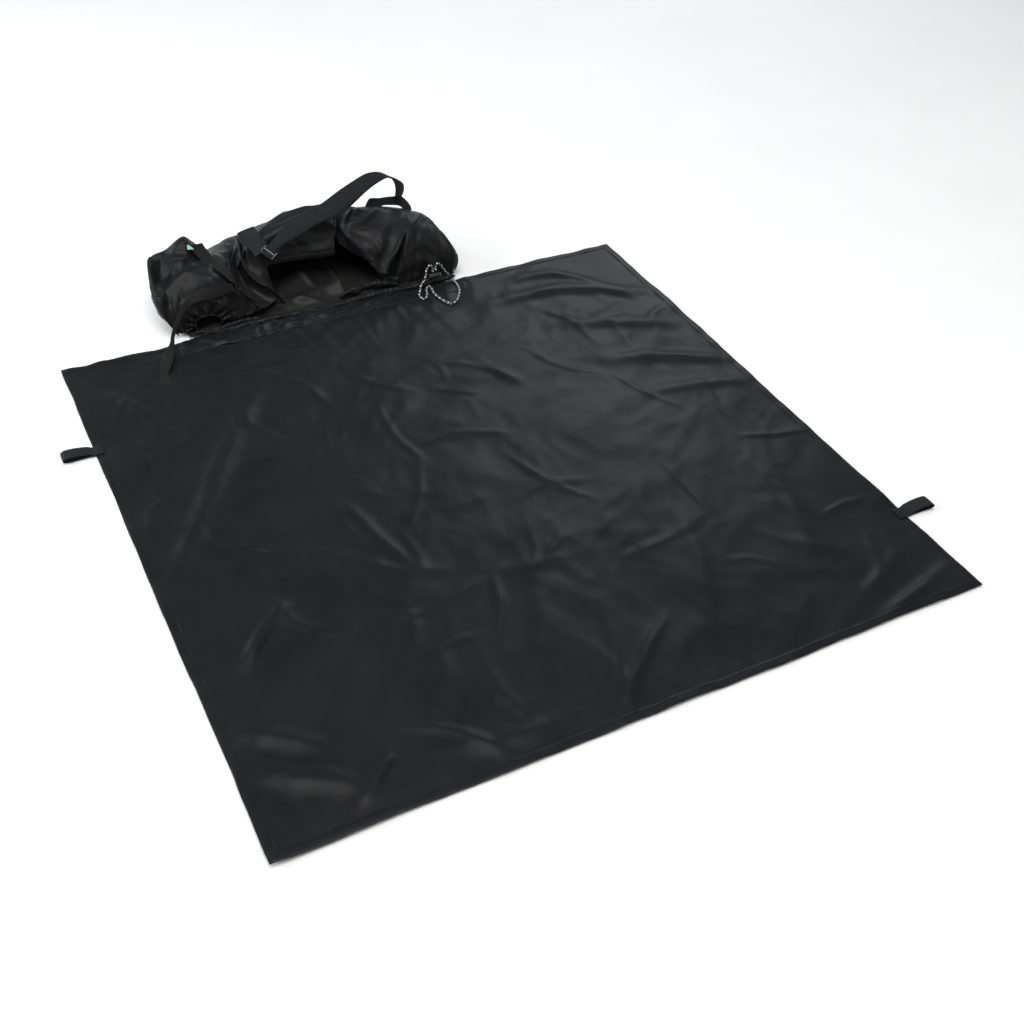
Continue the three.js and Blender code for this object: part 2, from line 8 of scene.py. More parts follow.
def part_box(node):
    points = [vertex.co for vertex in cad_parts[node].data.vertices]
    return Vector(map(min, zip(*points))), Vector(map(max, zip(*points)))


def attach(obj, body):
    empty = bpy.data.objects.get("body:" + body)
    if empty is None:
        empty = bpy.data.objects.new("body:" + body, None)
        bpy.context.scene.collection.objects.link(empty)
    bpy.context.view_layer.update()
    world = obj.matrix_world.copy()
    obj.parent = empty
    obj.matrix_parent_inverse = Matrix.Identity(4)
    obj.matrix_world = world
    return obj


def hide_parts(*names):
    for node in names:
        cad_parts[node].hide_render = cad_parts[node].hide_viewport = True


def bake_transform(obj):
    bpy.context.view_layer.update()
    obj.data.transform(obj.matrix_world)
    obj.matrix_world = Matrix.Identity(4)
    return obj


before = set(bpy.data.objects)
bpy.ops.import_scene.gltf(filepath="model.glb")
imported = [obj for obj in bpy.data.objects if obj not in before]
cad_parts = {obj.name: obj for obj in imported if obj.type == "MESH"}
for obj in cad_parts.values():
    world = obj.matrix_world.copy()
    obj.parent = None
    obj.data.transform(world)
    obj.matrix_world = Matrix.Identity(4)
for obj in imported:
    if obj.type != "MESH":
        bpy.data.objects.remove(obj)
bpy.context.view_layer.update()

# ------------------------------------------------------------------ camera
cam_data = bpy.data.cameras.new("view")
cam_data.lens = 44.3387
cam_data.sensor_width = 36.0
cam_data.clip_start, cam_data.clip_end = 0.05, 60.0
cam = bpy.data.objects.new("view", cam_data)
bpy.context.scene.collection.objects.link(cam)
cam.matrix_world = Matrix((
    (0.88900394, 0.27733393, -0.36435956, -0.7849685),
    (-0.45656875, 0.59749623, -0.65919893, -1.5250600),
    (0.03488524, 0.75238564, 0.65779851, 1.4043311),
    (0, 0, 0, 1),
))
bpy.context.scene.camera = cam

# ------------------------------------------------------------------ number helpers
_rng = np.random.RandomState(11)
_P = _rng.permutation(256)
_P = np.concatenate([_P, _P, _P])
_G = _rng.normal(size=(256, 3))
_G /= np.linalg.norm(_G, axis=1)[:, None]


def perlin(p):
    p = np.asarray(p, float).reshape(-1, 3)
    i = np.floor(p).astype(int)
    f = p - i
    i &= 255
    u = f * f * f * (f * (f * 6 - 15) + 10)

    def g(a, b, c):
        h = _P[_P[_P[i[:, 0] + a] + i[:, 1] + b] + i[:, 2] + c]
        return (_G[h] * (f - np.array([a, b, c]))).sum(1)

    x00 = g(0, 0, 0) * (1 - u[:, 0]) + g(1, 0, 0) * u[:, 0]
    x10 = g(0, 1, 0) * (1 - u[:, 0]) + g(1, 1, 0) * u[:, 0]
    x01 = g(0, 0, 1) * (1 - u[:, 0]) + g(1, 0, 1) * u[:, 0]
    x11 = g(0, 1, 1) * (1 - u[:, 0]) + g(1, 1, 1) * u[:, 0]
    y0 = x00 * (1 - u[:, 1]) + x10 * u[:, 1]
    y1 = x01 * (1 - u[:, 1]) + x11 * u[:, 1]
    return (y0 * (1 - u[:, 2]) + y1 * u[:, 2]) * 1.6


def fbm(p, octaves=3, gain=0.5):
    p = np.asarray(p, float).reshape(-1, 3)
    out, a, s = np.zeros(len(p)), 1.0, 1.0
    for k in range(octaves):
        out += a * perlin(p * s + 17.3 * k)
        a *= gain
        s *= 2.03
    return out


def ridged(p, octaves=2):
    p = np.asarray(p, float).reshape(-1, 3)
    out, a, s = np.zeros(len(p)), 1.0, 1.0
    for k in range(octaves):
        out += a * (1 - np.sqrt(perlin(p * s + 31.7 * k) ** 2 + 0.004) * 2)
        a *= 0.45
        s *= 2.1
    return out


def smooth(t):
    t = np.clip(t, 0, 1)
    return t * t * (3 - 2 * t)


def cr(p, n):
    """Catmull-Rom through the first axis of p, n steps between neighbours."""
    p = np.asarray(p, float)
    k = len(p)
    t = np.linspace(0, 1, n, endpoint=False).reshape((-1,) + (1,) * (p.ndim - 1))
    out = []
    for s in range(k - 1):
        p1, p2 = p[s], p[s + 1]
        p0 = p[s - 1] if s > 0 else 2 * p1 - p2
        p3 = p[s + 2] if s + 2 < k else 2 * p2 - p1
        out.append(p1 + 0.5 * t * ((p2 - p0) + t * ((2 * p0 - 5 * p1 + 4 * p2 - p3) + t * (3 * (p1 - p2) + p3 - p0))))
    out.append(p[-1:])
    return np.concatenate(out)


def even(p, step=None, n=None):
    """The polyline p resampled at even steps of arc length."""
    p = np.asarray(p, float)
    d = np.concatenate([[0], np.cumsum(np.linalg.norm(np.diff(p, axis=0), axis=1))])
    n = n or max(2, int(round(d[-1] / step)) + 1)
    t = np.linspace(0, d[-1], n)
    return np.stack([np.interp(t, d, p[:, k]) for k in range(p.shape[1])], 1)


def unit(v):
    return v / np.maximum(np.linalg.norm(v, axis=-1, keepdims=True), 1e-12)


def grid_normals(g):
    du = np.gradient(g, axis=0)
    dv = np.gradient(g, axis=1)
    return unit(np.cross(du, dv))


# ------------------------------------------------------------------ mesh helpers
def make_mesh(name, verts, faces, material=None, uv=None, body=None, slot=None, smooth_shade=True, indices=None):
    me = bpy.data.meshes.new(name)
    me.from_pydata([tuple(v) for v in np.asarray(verts, float)], [], [tuple(int(i) for i in f) for f in faces])
    me.validate()
    me.update()
    ob = bpy.data.objects.new(name, me)
    bpy.context.scene.collection.objects.link(ob)
    for m in (material if isinstance(material, (list, tuple)) else [material]):
        if m is not None:
            me.materials.append(m)
    if indices is not None:
        me.polygons.foreach_set("material_index", np.asarray(indices, np.int32))
    if smooth_shade:
        me.polygons.foreach_set("use_smooth", [True] * len(me.polygons))
    if uv is not None:
        layer = me.uv_layers.new(name="UVMap")
        loops = np.empty(len(me.loops), np.int32)
        me.loops.foreach_get("vertex_index", loops)
        layer.data.foreach_set("uv", np.asarray(uv, np.float32)[loops].reshape(-1))
    if body:
        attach(ob, body)
    return ob


def grid_faces(nu, nv, wrap_u=False, wrap_v=False, flip=False):
    a = np.arange(nu * nv).reshape(nu, nv)
    iu = nu if wrap_u else nu - 1
    iv = nv if wrap_v else nv - 1
    f = []
    for i in range(iu):
        i2 = (i + 1) % nu
        r0, r1 = a[i], a[i2]
        for j in range(iv):
            j2 = (j + 1) % nv
            q = (r0[j], r1[j], r1[j2], r0[j2])
            f.append(q[::-1] if flip else q)
    return f


def grid_uv(g):
    """UV in metres: arc length along both directions of a grid."""
    lu = np.concatenate([np.zeros((1, g.shape[1])), np.cumsum(np.linalg.norm(np.diff(g, axis=0), axis=2), axis=0)])
    lv = np.concatenate([np.zeros((g.shape[0], 1)), np.cumsum(np.linalg.norm(np.diff(g, axis=1), axis=2), axis=1)], 1)
    return np.stack([np.broadcast_to(lu.mean(1)[:, None], lu.shape), lv], 2).reshape(-1, 2)


def thicken(ob, t, offset=-1.0, inner=0, rim=0, even_t=False):
    m = ob.modifiers.new("cloth", "SOLIDIFY")
    m.thickness = t
    m.offset = offset
    m.material_offset = inner
    m.material_offset_rim = rim
    m.use_even_offset = even_t
    return m


def apply_modifiers(ob):
    dg = bpy.context.evaluated_depsgraph_get()
    me = bpy.data.meshes.new_from_object(ob.evaluated_get(dg), depsgraph=dg)
    ob.modifiers.clear()
    ob.data = me


def frames_of(p, up=(0, 0, 1)):
    """Rotation-minimising frames along a path: tangents, and two normals."""
    t = unit(np.gradient(p, axis=0))
    n = np.zeros_like(p)
    v = np.array(up, float)
    if abs(np.dot(unit(v), t[0])) > 0.95:
        v = np.array([1.0, 0.3, 0])
    n[0] = unit(v - np.dot(v, t[0]) * t[0])
    for i in range(1, len(p)):
        w = n[i - 1] - np.dot(n[i - 1], t[i]) * t[i]
        n[i] = unit(w)
    return t, n, np.cross(t, n)


def tube(name, path, radius, sides=16, closed_ends=True, up=(0, 0, 1), **kw):
    p = np.asarray(path, float)
    t, n, b = frames_of(p, up)
    r = np.broadcast_to(np.asarray(radius, float), (len(p),)) if np.ndim(radius) < 2 else None
    a = np.linspace(0, 2 * math.pi, sides, endpoint=False)
    ring = n[:, None, :] * np.cos(a)[None, :, None] + b[:, None, :] * np.sin(a)[None, :, None]
    rr = r[:, None, None] if r is not None else np.asarray(radius)[:, :, None]
    v = p[:, None, :] + ring * rr
    verts = v.reshape(-1, 3)
    faces = grid_faces(len(p), sides, wrap_v=True, flip=True)
    d = np.concatenate([[0], np.cumsum(np.linalg.norm(np.diff(p, axis=0), axis=1))])
    uv = np.stack([np.repeat(d, sides), np.tile(a / (2 * math.pi), len(p))], 1)
    if closed_ends:
        verts = np.vstack([verts, p[:1], p[-1:]])
        uv = np.vstack([uv, [[0, 0]], [[d[-1], 0]]])
        k0, k1 = len(verts) - 2, len(verts) - 1
        last = (len(p) - 1) * sides
        faces += [(k0, j, (j + 1) % sides) for j in range(sides)]
        faces += [(k1, last + (j + 1) % sides, last + j) for j in range(sides)]
    return make_mesh(name, verts, faces, uv=uv, **kw)


def webbing_grid(pairs, n=10, step=0.003):
    """Dense centre line, half-width vectors and normals of a webbing strip from pairs of edge points (mm or m)."""
    q = np.asarray(pairs, float)
    if np.abs(q).max() > 5:
        q = q / 1000.0
    d = cr(q, n).reshape(-1, 6)
    c = (d[:, :3] + d[:, 3:]) / 2
    L = np.concatenate([[0], np.cumsum(np.linalg.norm(np.diff(c, axis=0), axis=1))])
    m = max(4, int(round(L[-1] / step)) + 1)
    tt = np.linspace(0, L[-1], m)
    d = np.stack([np.interp(tt, L, d[:, k]) for k in range(6)], 1)
    a, b = d[:, :3], d[:, 3:]
    return a, b, tt


def webbing(name, pairs, material, body, slot="webbing", thick=0.0016, across=9, n=10, step=0.003, wobble=0.0, cup=0.0, width=None, replaces=(), ends=0.0):
    a, b, tt = webbing_grid(pairs, n, step)
    c = (a + b) / 2
    w = b - a
    if width is not None:
        w = unit(w) * np.clip(np.linalg.norm(w, axis=1, keepdims=True), width[0], width[1])
        a, b = c - w / 2, c + w / 2
    t = unit(np.gradient(c, axis=0))
    nrm = unit(np.cross(t, w))
    s = np.linspace(0, 1, across)
    top = a[:, None, :] * (1 - s)[None, :, None] + b[:, None, :] * s[None, :, None]
    bow = (1 - (2 * s - 1) ** 2) * cup
    top = top + nrm[:, None, :] * bow[None, :, None]
    if wobble:
        f = fbm(np.stack([tt * 14, tt * 0 + 3.1, tt * 0], 1), 3) * wobble
        top = top + nrm[:, None, :] * f[:, None, None]
    # rounded section: the edges are thinner than the middle
    prof = thick / 2 * np.sqrt(np.clip(1 - np.abs(2 * s - 1) ** 6, 0.12, 1))
    up = top + nrm[:, None, :] * prof[None, :, None]
    lo = top - nrm[:, None, :] * prof[None, :, None]
    ring = np.concatenate([up, lo[:, ::-1]], 1)
    k = ring.shape[1]
    W = np.linalg.norm(w, axis=1).mean()
    v_ring = np.concatenate([s * W, s[::-1] * W])
    uv = np.stack([np.repeat(tt, k), np.tile(v_ring, len(tt))], 1)
    verts = ring.reshape(-1, 3)
    faces = grid_faces(len(tt), k, wrap_v=True)
    faces += [tuple(range(k))[::-1], tuple((len(tt) - 1) * k + np.arange(k))]
    ob = make_mesh(name, verts, faces, material, uv=uv, body=body, slot=slot)
    if replaces:
        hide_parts(*replaces)
    return ob, dict(c=c, t=t, w=w, n=nrm, s=tt, a=a, b=b)


def stitches(name, line, normal, material, body=None, pitch=0.0042, length=0.0029, r=0.00042, lift=0.0002, slot=None, skip=()):
    """A row of short thread stitches lying on a surface along a line."""
    p = even(np.asarray(line, float), step=pitch / 8)
    d = np.concatenate([[0], np.cumsum(np.linalg.norm(np.diff(p, axis=0), axis=1))])
    ndef = np.asarray(normal, float)
    if ndef.ndim == 2:
        L = np.linspace(0, 1, len(ndef))
        u = np.linspace(0, 1, len(p))
        nn = unit(np.stack([np.interp(u, L, ndef[:, k]) for k in range(3)], 1))
    else:
        nn = np.broadcast_to(unit(ndef), p.shape)
    tg = unit(np.gradient(p, axis=0))
    verts, faces = [], []
    x = pitch / 2
    while x < d[-1] - length / 2:
        q = [x - length / 2, x - length * 0.3, x, x + length * 0.3, x + length / 2]
        hh = [0.0, 0.85, 1.0, 0.85, 0.0]
        base = len(verts)
        for e, (xx, h) in enumerate(zip(q, hh)):
            i = int(np.clip(np.searchsorted(d, xx), 0, len(p) - 1))
            c, nv, tv = p[i], nn[i], tg[i]
            sv = np.cross(nv, tv)
            rr = r * (0.55 + 0.45 * h)
            for k in range(5):
                an = math.pi * k / 4
                verts.append(c + sv * math.cos(an) * rr + nv * (math.sin(an) * rr * (0.5 + h) + lift * h))
        for e in range(4):
            for k in range(4):
                o = base + e * 5 + k
                faces.append((o, o + 1, o + 6, o + 5))
        x += pitch
    return make_mesh(name, verts, faces, material, body=body, slot=slot)


# ------------------------------------------------------------------ materials
class Mat:
    def __init__(self, name):
        self.m = bpy.data.materials.new(name)
        self.m.use_nodes = True
        self.nt = self.m.node_tree
        self.b = self.nt.nodes["Principled BSDF"]
        self.bump = None

    def n(self, kind, **kw):
        x = self.nt.nodes.new(kind)
        for k, v in kw.items():
            setattr(x, k, v)
        return x

    def link(self, a, b):
        self.nt.links.new(a, b)

    def coord(self, kind="Object", scale=(1, 1, 1), rot=(0, 0, 0)):
        c = self.n("ShaderNodeTexCoord")
        mp = self.n("ShaderNodeMapping")
        mp.inputs["Scale"].default_value = scale
        mp.inputs["Rotation"].default_value = rot
        self.link(c.outputs[kind], mp.inputs["Vector"])
        return mp.outputs["Vector"]

    def noise(self, vec, scale, detail=4, rough=0.55, distort=0.0):
        x = self.n("ShaderNodeTexNoise")
        x.inputs["Scale"].default_value = scale
        x.inputs["Detail"].default_value = detail
        x.inputs["Roughness"].default_value = rough
        x.inputs["Distortion"].default_value = distort
        self.link(vec, x.inputs["Vector"])
        return x.outputs["Fac"]

    def wave(self, vec, scale, direction="X", kind="BANDS", distort=0.0, detail=0.0, dscale=1.0):
        x = self.n("ShaderNodeTexWave", wave_type=kind)
        x.bands_direction = direction
        x.inputs["Scale"].default_value = scale
        x.inputs["Distortion"].default_value = distort
        x.inputs["Detail"].default_value = detail
        x.inputs["Detail Scale"].default_value = dscale
        self.link(vec, x.inputs["Vector"])
        return x.outputs["Fac"]

    def math(self, op, a, b=None, clamp=False):
        x = self.n("ShaderNodeMath", operation=op, use_clamp=clamp)
        for k, v in enumerate((a, b)):
            if v is None:
                continue
            if isinstance(v, (int, float)):
                x.inputs[k].default_value = v
            else:
                self.link(v, x.inputs[k])
        return x.outputs[0]

    def ramp(self, fac, stops):
        x = self.n("ShaderNodeValToRGB")
        e = x.color_ramp.elements
        while len(e) < len(stops):
            e.new(0.5)
        for k, (pos, col) in enumerate(stops):
            e[k].position = pos
            e[k].color = (*col, 1) if len(col) == 3 else col
        self.link(fac, x.inputs["Fac"])
        return x.outputs["Color"]

    def add_bump(self, height, distance, strength=1.0):
        x = self.n("ShaderNodeBump")
        x.inputs["Distance"].default_value = distance
        x.inputs["Strength"].default_value = strength
        self.link(height, x.inputs["Height"])
        if self.bump is not None:
            self.link(self.bump, x.inputs["Normal"])
        self.bump = x.outputs["Normal"]
        self.link(self.bump, self.b.inputs["Normal"])

    def set(self, **kw):
        for k, v in kw.items():
            self.b.inputs[k.replace("_", " ")].default_value = v


def nylon(name, lo, hi, rough=(0.36, 0.50), weave=True, crumple=0.0011, sheen=0.12, spec=0.5):
    m = Mat(name)
    ob = m.coord("Object")
    n1 = m.noise(ob, 7.0, 5, 0.6, 0.4)
    n2 = m.noise(ob, 60.0, 3, 0.6)
    mix = m.math("ADD", m.math("MULTIPLY", n1, 0.75), m.math("MULTIPLY", n2, 0.25))
    m.link(m.ramp(mix, [(0.30, lo), (0.70, hi)]), m.b.inputs["Base Color"])
    rr = m.ramp(n1, [(0.3, (rough[0],) * 3), (0.7, (rough[1],) * 3)])
    m.link(rr, m.b.inputs["Roughness"])
    m.set(Specular_IOR_Level=spec, Sheen_Weight=sheen, Sheen_Roughness=0.45)
    m.add_bump(m.noise(ob, 22.0, 3, 0.50, 0.7), crumple, 0.55)
    m.add_bump(m.noise(ob, 110.0, 3, 0.6, 0.3), crumple * 0.18, 0.5)
    if weave:
        uv = m.coord("UV")
        wx = m.wave(uv, 0.314 / 0.0009, "X")
        wy = m.wave(uv, 0.314 / 0.0009, "Y")
        m.add_bump(m.math("ADD", wx, wy), 0.00006, 0.45)
    return m.m


def webbing_mat(name, lo, hi, rough=0.62, period=0.0021, shine=0.35):
    m = Mat(name)
    uv = m.coord("UV")
    ob = m.coord("Object")
    tw1 = m.wave(m.coord("UV", rot=(0, 0, math.radians(35))), 0.314 / period, "X")
    tw2 = m.wave(uv, 0.314 / (period * 0.8), "Y")
    weave = m.math("MULTIPLY", tw1, m.math("ADD", m.math("MULTIPLY", tw2, 0.6), 0.4))
    n1 = m.noise(ob, 30.0, 4, 0.6)
    fac = m.math("ADD", m.math("MULTIPLY", weave, 0.55), m.math("MULTIPLY", n1, 0.45))
    m.link(m.ramp(fac, [(0.15, lo), (0.85, hi)]), m.b.inputs["Base Color"])
    m.link(m.ramp(weave, [(0.0, (rough + 0.12,) * 3), (1.0, (rough - 0.10,) * 3)]), m.b.inputs["Roughness"])
    m.set(Specular_IOR_Level=shine, Sheen_Weight=0.04, Sheen_Roughness=0.4)
    m.add_bump(weave, 0.00045, 0.8)
    m.add_bump(n1, 0.0006, 0.35)
    return m.m


M_SHEET = nylon("sheet_nylon", (0.0065, 0.0067, 0.0074), (0.0110, 0.0113, 0.0124), rough=(0.30, 0.39), crumple=0.0007, sheen=0.01, spec=0.130)
M_BAG = nylon("bag_nylon", (0.0062, 0.0064, 0.0070), (0.0105, 0.0108, 0.0118), rough=(0.33, 0.41), crumple=0.0005, sheen=0.01, spec=0.150)
# painted shade: a near-black, matte cloth, darker than the bag's nylon, so the hole in the left hood reads as deep
# shadow
M_HOLE_PAINTED_SHADE = nylon("hole_painted_shade_cloth", (0.0030, 0.0031, 0.0034), (0.0050, 0.0051, 0.0056), rough=(0.55, 0.65), crumple=0.0006, sheen=0.0, spec=0.05)
M_LINING = nylon("lining", (0.0085, 0.0085, 0.0082), (0.0150, 0.0148, 0.0142), rough=(0.45, 0.58), crumple=0.0018, sheen=0.03, spec=0.25)
M_WEB = webbing_mat("webbing", (0.0050, 0.0052, 0.0060), (0.0215, 0.0225, 0.0262), rough=0.48, shine=0.13)
M_TAIL = webbing_mat("tail_webbing", (0.0055, 0.0055, 0.0055), (0.0155, 0.0152, 0.0148), rough=0.62, shine=0.12)


def thread_mat(name, col):
    m = Mat(name)
    ob = m.coord("Object")
    m.link(m.ramp(m.noise(ob, 900, 2), [(0.3, tuple(c * 0.7 for c in col)), (0.7, tuple(c * 1.3 for c in col))]), m.b.inputs["Base Color"])
    m.set(Roughness=0.6, Sheen_Weight=0.02, Specular_IOR_Level=0.12)
    m.add_bump(m.noise(ob, 2500, 1), 0.0001, 0.5)
    return m.m


M_THREAD = thread_mat("thread", (0.0055, 0.0057, 0.0064))


def cord_mat(name):
    m = Mat(name)
    c = m.n("ShaderNodeTexCoord")
    s = m.n("ShaderNodeSeparateXYZ")
    m.link(c.outputs["UV"], s.inputs["Vector"])
    u, v = s.outputs["X"], s.outputs["Y"]
    two_pi = 2 * math.pi
    fu = m.math("MULTIPLY", u, two_pi / 0.0064)
    fv = m.math("MULTIPLY", v, two_pi)
    h1 = m.math("SINE", m.math("ADD", fu, fv))
    h2 = m.math("SINE", m.math("SUBTRACT", m.math("MULTIPLY", fu, 0.5), fv))
    fleck = m.math("MULTIPLY", m.math("GREATER_THAN", h1, 0.12), m.math("GREATER_THAN", h2, -0.42))
    # braid of fine yarns
    b1 = m.math("SINE", m.math("ADD", m.math("MULTIPLY", u, two_pi / 0.0022), m.math("MULTIPLY", fv, 4)))
    b2 = m.math("SINE", m.math("SUBTRACT", m.math("MULTIPLY", u, two_pi / 0.0022), m.math("MULTIPLY", fv, 4)))
    braid = m.math("MAXIMUM", b1, b2)
    dark = m.ramp(m.math("MULTIPLY", m.math("ADD", braid, 1.0), 0.5), [(0.2, (0.004, 0.004, 0.0045)), (0.9, (0.022, 0.022, 0.024))])
    light = m.ramp(m.math("MULTIPLY", m.math("ADD", braid, 1.0), 0.5), [(0.1, (0.42, 0.42, 0.42)), (0.8, (0.86, 0.86, 0.85))])
    mix = m.n("ShaderNodeMix", data_type="RGBA")
    m.link(fleck, mix.inputs["Factor"])
    m.link(dark, mix.inputs["A"])
    m.link(light, mix.inputs["B"])
    m.link(mix.outputs["Result"], m.b.inputs["Base Color"])
    m.set(Roughness=0.6, Specular_IOR_Level=0.35, Sheen_Weight=0.2)
    m.add_bump(braid, 0.00035, 0.8)
    return m.m


M_CORD = cord_mat("drawcord")


def plastic_mat(name, col, rough=0.38):
    m = Mat(name)
    ob = m.coord("Object")
    n1 = m.noise(ob, 90, 4)
    m.link(m.ramp(n1, [(0.3, tuple(c * 0.8 for c in col)), (0.7, tuple(c * 1.2 for c in col))]), m.b.inputs["Base Color"])
    m.link(m.ramp(m.noise(ob, 240, 4), [(0.3, (rough - 0.06,) * 3), (0.7, (rough + 0.08,) * 3)]), m.b.inputs["Roughness"])
    m.set(Specular_IOR_Level=0.5)
    m.add_bump(m.noise(ob, 1400, 3), 0.00006, 0.6)
    return m.m


M_PLASTIC = plastic_mat("plastic", (0.012, 0.012, 0.013))
M_BUCKLE = plastic_mat("buckle_plastic", (0.075, 0.075, 0.079), 0.30)


def steel_mat(name):
    m = Mat(name)
    ob = m.coord("Object")
    n = m.noise(ob, 700, 3)
    m.link(m.ramp(n, [(0.3, (0.50, 0.50, 0.52)), (0.7, (0.66, 0.66, 0.68))]), m.b.inputs["Base Color"])
    m.set(Metallic=1.0, Roughness=0.28)
    m.add_bump(n, 0.00003, 0.4)
    return m.m


M_STEEL = steel_mat("spring_steel")


def label_mat(name):
    m = Mat(name)
    uv = m.coord("UV")
    w1 = m.wave(uv, 0.314 / 0.0006, "X")
    w2 = m.wave(uv, 0.314 / 0.0006, "Y")
    wv = m.math("MULTIPLY", m.math("ADD", w1, w2), 0.5)
    m.link(m.ramp(wv, [(0.1, (0.10, 0.40, 0.34)), (0.9, (0.34, 0.70, 0.62))]), m.b.inputs["Base Color"])
    m.set(Roughness=0.5, Sheen_Weight=0.3, Specular_IOR_Level=0.4)
    m.add_bump(wv, 0.0001, 0.6)
    return m.m


M_LABEL = label_mat("label")

# ------------------------------------------------------------------ control points in millimetres, as in the CAD model
RIGHT_HOOD = [
    [[80, 622, 20.5], [58, 642, 53.1], [35.4, 670, 90.5], [19.3, 710, 113.1], [52.4, 770, 122.8], [50, 840, 65], [56, 900, 6]],
    [[102.3, 622, 5.5], [96.2, 637, 46.8], [80.2, 665, 90], [61.7, 710, 115.4], [86.2, 770, 120.4], [90, 840, 64], [92, 900, 6]],
    [[129.7, 622, 5.2], [130.4, 637, 48.3], [132.1, 665, 90.1], [129.3, 710, 112.6], [138.8, 765, 111.9], [128, 838, 60], [126, 898, 6]],
    [[162.1, 622, 5.2], [169.4, 637, 46.4], [168.8, 660, 89.2], [168.4, 700, 109.1], [180.7, 755, 100.9], [168, 832, 54], [162, 894, 6]],
    [[194.9, 622, 5.2], [205.2, 634, 46.9], [203.4, 655, 79.4], [200.8, 690, 95.4], [213.8, 740, 89.4], [205, 818, 42], [194, 882, 6]],
    [[217.5, 620, 5.6], [240, 628, 27.6], [236.1, 645, 55.8], [226.5, 675, 76], [223.6, 720, 80.4], [236, 782, 34], [222, 850, 6]],
    [[232, 622, 6], [240, 645, 6], [247, 675, 6], [250, 708, 6], [247, 745, 6], [240, 785, 6], [228, 832, 6]],
]
STRAP = [
    [[-155.5, 664.4, 106], [-167.1, 679.5, 114.8]],
    [[-145.5, 669.4, 110.4], [-157.2, 684.6, 119.2]],
    [[-132.3, 676.2, 116.3], [-143.9, 691.3, 125.1]],
    [[-120.7, 682.1, 121.5], [-132.3, 697.2, 130.3]],
    [[-80.6, 690, 129], [-97.5, 715, 149.4]],
    [[-38.5, 700, 140.8], [-54.7, 725, 159]],
    [[15.9, 712, 147.1], [-13, 737, 165.9]],
    [[43.2, 720, 155.6], [26.6, 747, 180]],
    [[79.8, 730, 174.1], [63.5, 755, 191.4]],
    [[108.2, 740, 182.7], [95.5, 762, 198.7]],
    [[135, 750, 185.7], [124, 766, 194.8]],
    [[149.1, 757, 179.3], [148.1, 768, 180.2]],
]
STRAP_END = [
    [[152.6, 757, 175.2], [167.2, 768, 169.1]],
    [[156.9, 757, 165.3], [179.9, 766, 157.7]],
    [[158.5, 757, 151.2], [181, 764, 145.7]],
    [[157, 757, 138.8], [176.8, 763, 133.1]],
]
LEFT_ANCHOR = [
    [[-195.1, 742.0, 133.9], [-152.9, 766.0, 128.4]],
    [[-196.7, 716.0, 126.4], [-150.4, 736.0, 124.0]],
    [[-183.2, 693.0, 116.2], [-151.3, 707.0, 115.3]],
    [[-180.3, 678, 110.5], [-159.6, 686, 112.9]],
]
TAIL_UPPER = [
    [[-292.5, 742.0, 127.2], [-264.3, 758.0, 119.4]],
    [[-289.8, 728.0, 118.1], [-259.9, 742.0, 110.8]],
    [[-273.8, 700.0, 102.2], [-251.0, 712.0, 99.5]],
    [[-258.6, 672.0, 97.7], [-235.1, 680.0, 93.5]],
    [[-244.5, 650.0, 85.9], [-233.0, 644.0, 77.3]],
]
TAIL_LOWER = [
    [[-243.1, 642.0, 84.3], [-238.8, 635.0, 70.0]],
    [[-279.1, 643.0, 85.7], [-285.3, 631.0, 65.5]],
    [[-306.1, 652.0, 81.7], [-316.7, 634.0, 64.9]],
    [[-334.1, 648.0, 68.2], [-331.0, 636.0, 58.2]],
    [[-353.7, 633.0, 58.9], [-349.4, 624.0, 51.5]],
    [[-371.4, 617.0, 43.0], [-366.4, 610.0, 36.6]],
    [[-384.8, 604.0, 23.2], [-379.9, 599.0, 19.1]],
    [[-398.4, 559.9, 34.0], [-392.5, 547.8, 26.0]],
    [[-417.0, 553.9, 13.0], [-403.2, 530.8, 12.0]],
    [[-430.7, 524.7, 7.5], [-418.0, 508.1, 7.5]],
    [[-437.9, 499.7, 4.8], [-420.3, 497.1, 4.8]],
    [[-440.0, 451.2, 4.8], [-420.9, 454.8, 4.8]],
    [[-443.3, 415.5, 4.8], [-417.9, 441.2, 4.8]],
]
RIGHT_ANCHOR = [
    [[94.6, 762, 127.1], [104, 770, 136.4]],
    [[117.7, 763, 123.7], [125.6, 770, 133.2]],
    [[136.9, 765, 123.3], [143.9, 770, 132.3]],
    [[155.3, 765, 120.2], [162.3, 770, 129.9]],
    [[170.6, 763, 116.8], [177.7, 768, 126.8]],
    [[180.4, 754, 106.2], [192.4, 760, 107.9]],
]
LEFT_HOOD = [
    [[-366, 622, 6], [-366, 665, 6], [-363, 720, 6], [-360, 770, 6], [-356, 810, 6], [-350, 850, 6], [-340, 885, 6]],
    [[-369.5, 622, 11.8], [-385.1, 640, 53.8], [-387.9, 680, 86.2], [-383.3, 720, 110.4], [-370.6, 765, 101.6], [-357, 820, 50], [-337, 890, 6]],
    [[-347.9, 624, 9], [-363.1, 640, 48.1], [-365.4, 680, 78.4], [-358.7, 720, 102.4], [-335.8, 765, 118.4], [-330, 830, 64], [-312, 893, 6]],
    [[-321.9, 626, 17], [-335.5, 640, 45.6], [-335.2, 680, 80.1], [-321.6, 720, 109.4], [-298.7, 765, 136.9], [-290, 835, 74], [-282, 895, 6]],
    [[-285.3, 625, 15], [-301.9, 637, 48], [-302, 670, 79.8], [-293, 710, 103.6], [-272, 770, 111.6], [-263, 835, 62], [-256, 897, 6]],
    [[-238.9, 622, 14.9], [-264.5, 637, 54.7], [-274, 660, 85.3], [-272.1, 700, 99.5], [-245.9, 780, 81], [-240, 838, 55], [-234, 898, 6]],
    [[-187.8, 622.0, 25.2], [-211.8, 637.0, 47.3], [-230.3, 652.0, 60.8], [-228.7, 700.0, 84.8], [-199.0, 780.0, 84.3], [-208, 840, 60], [-205, 900, 6]],
]
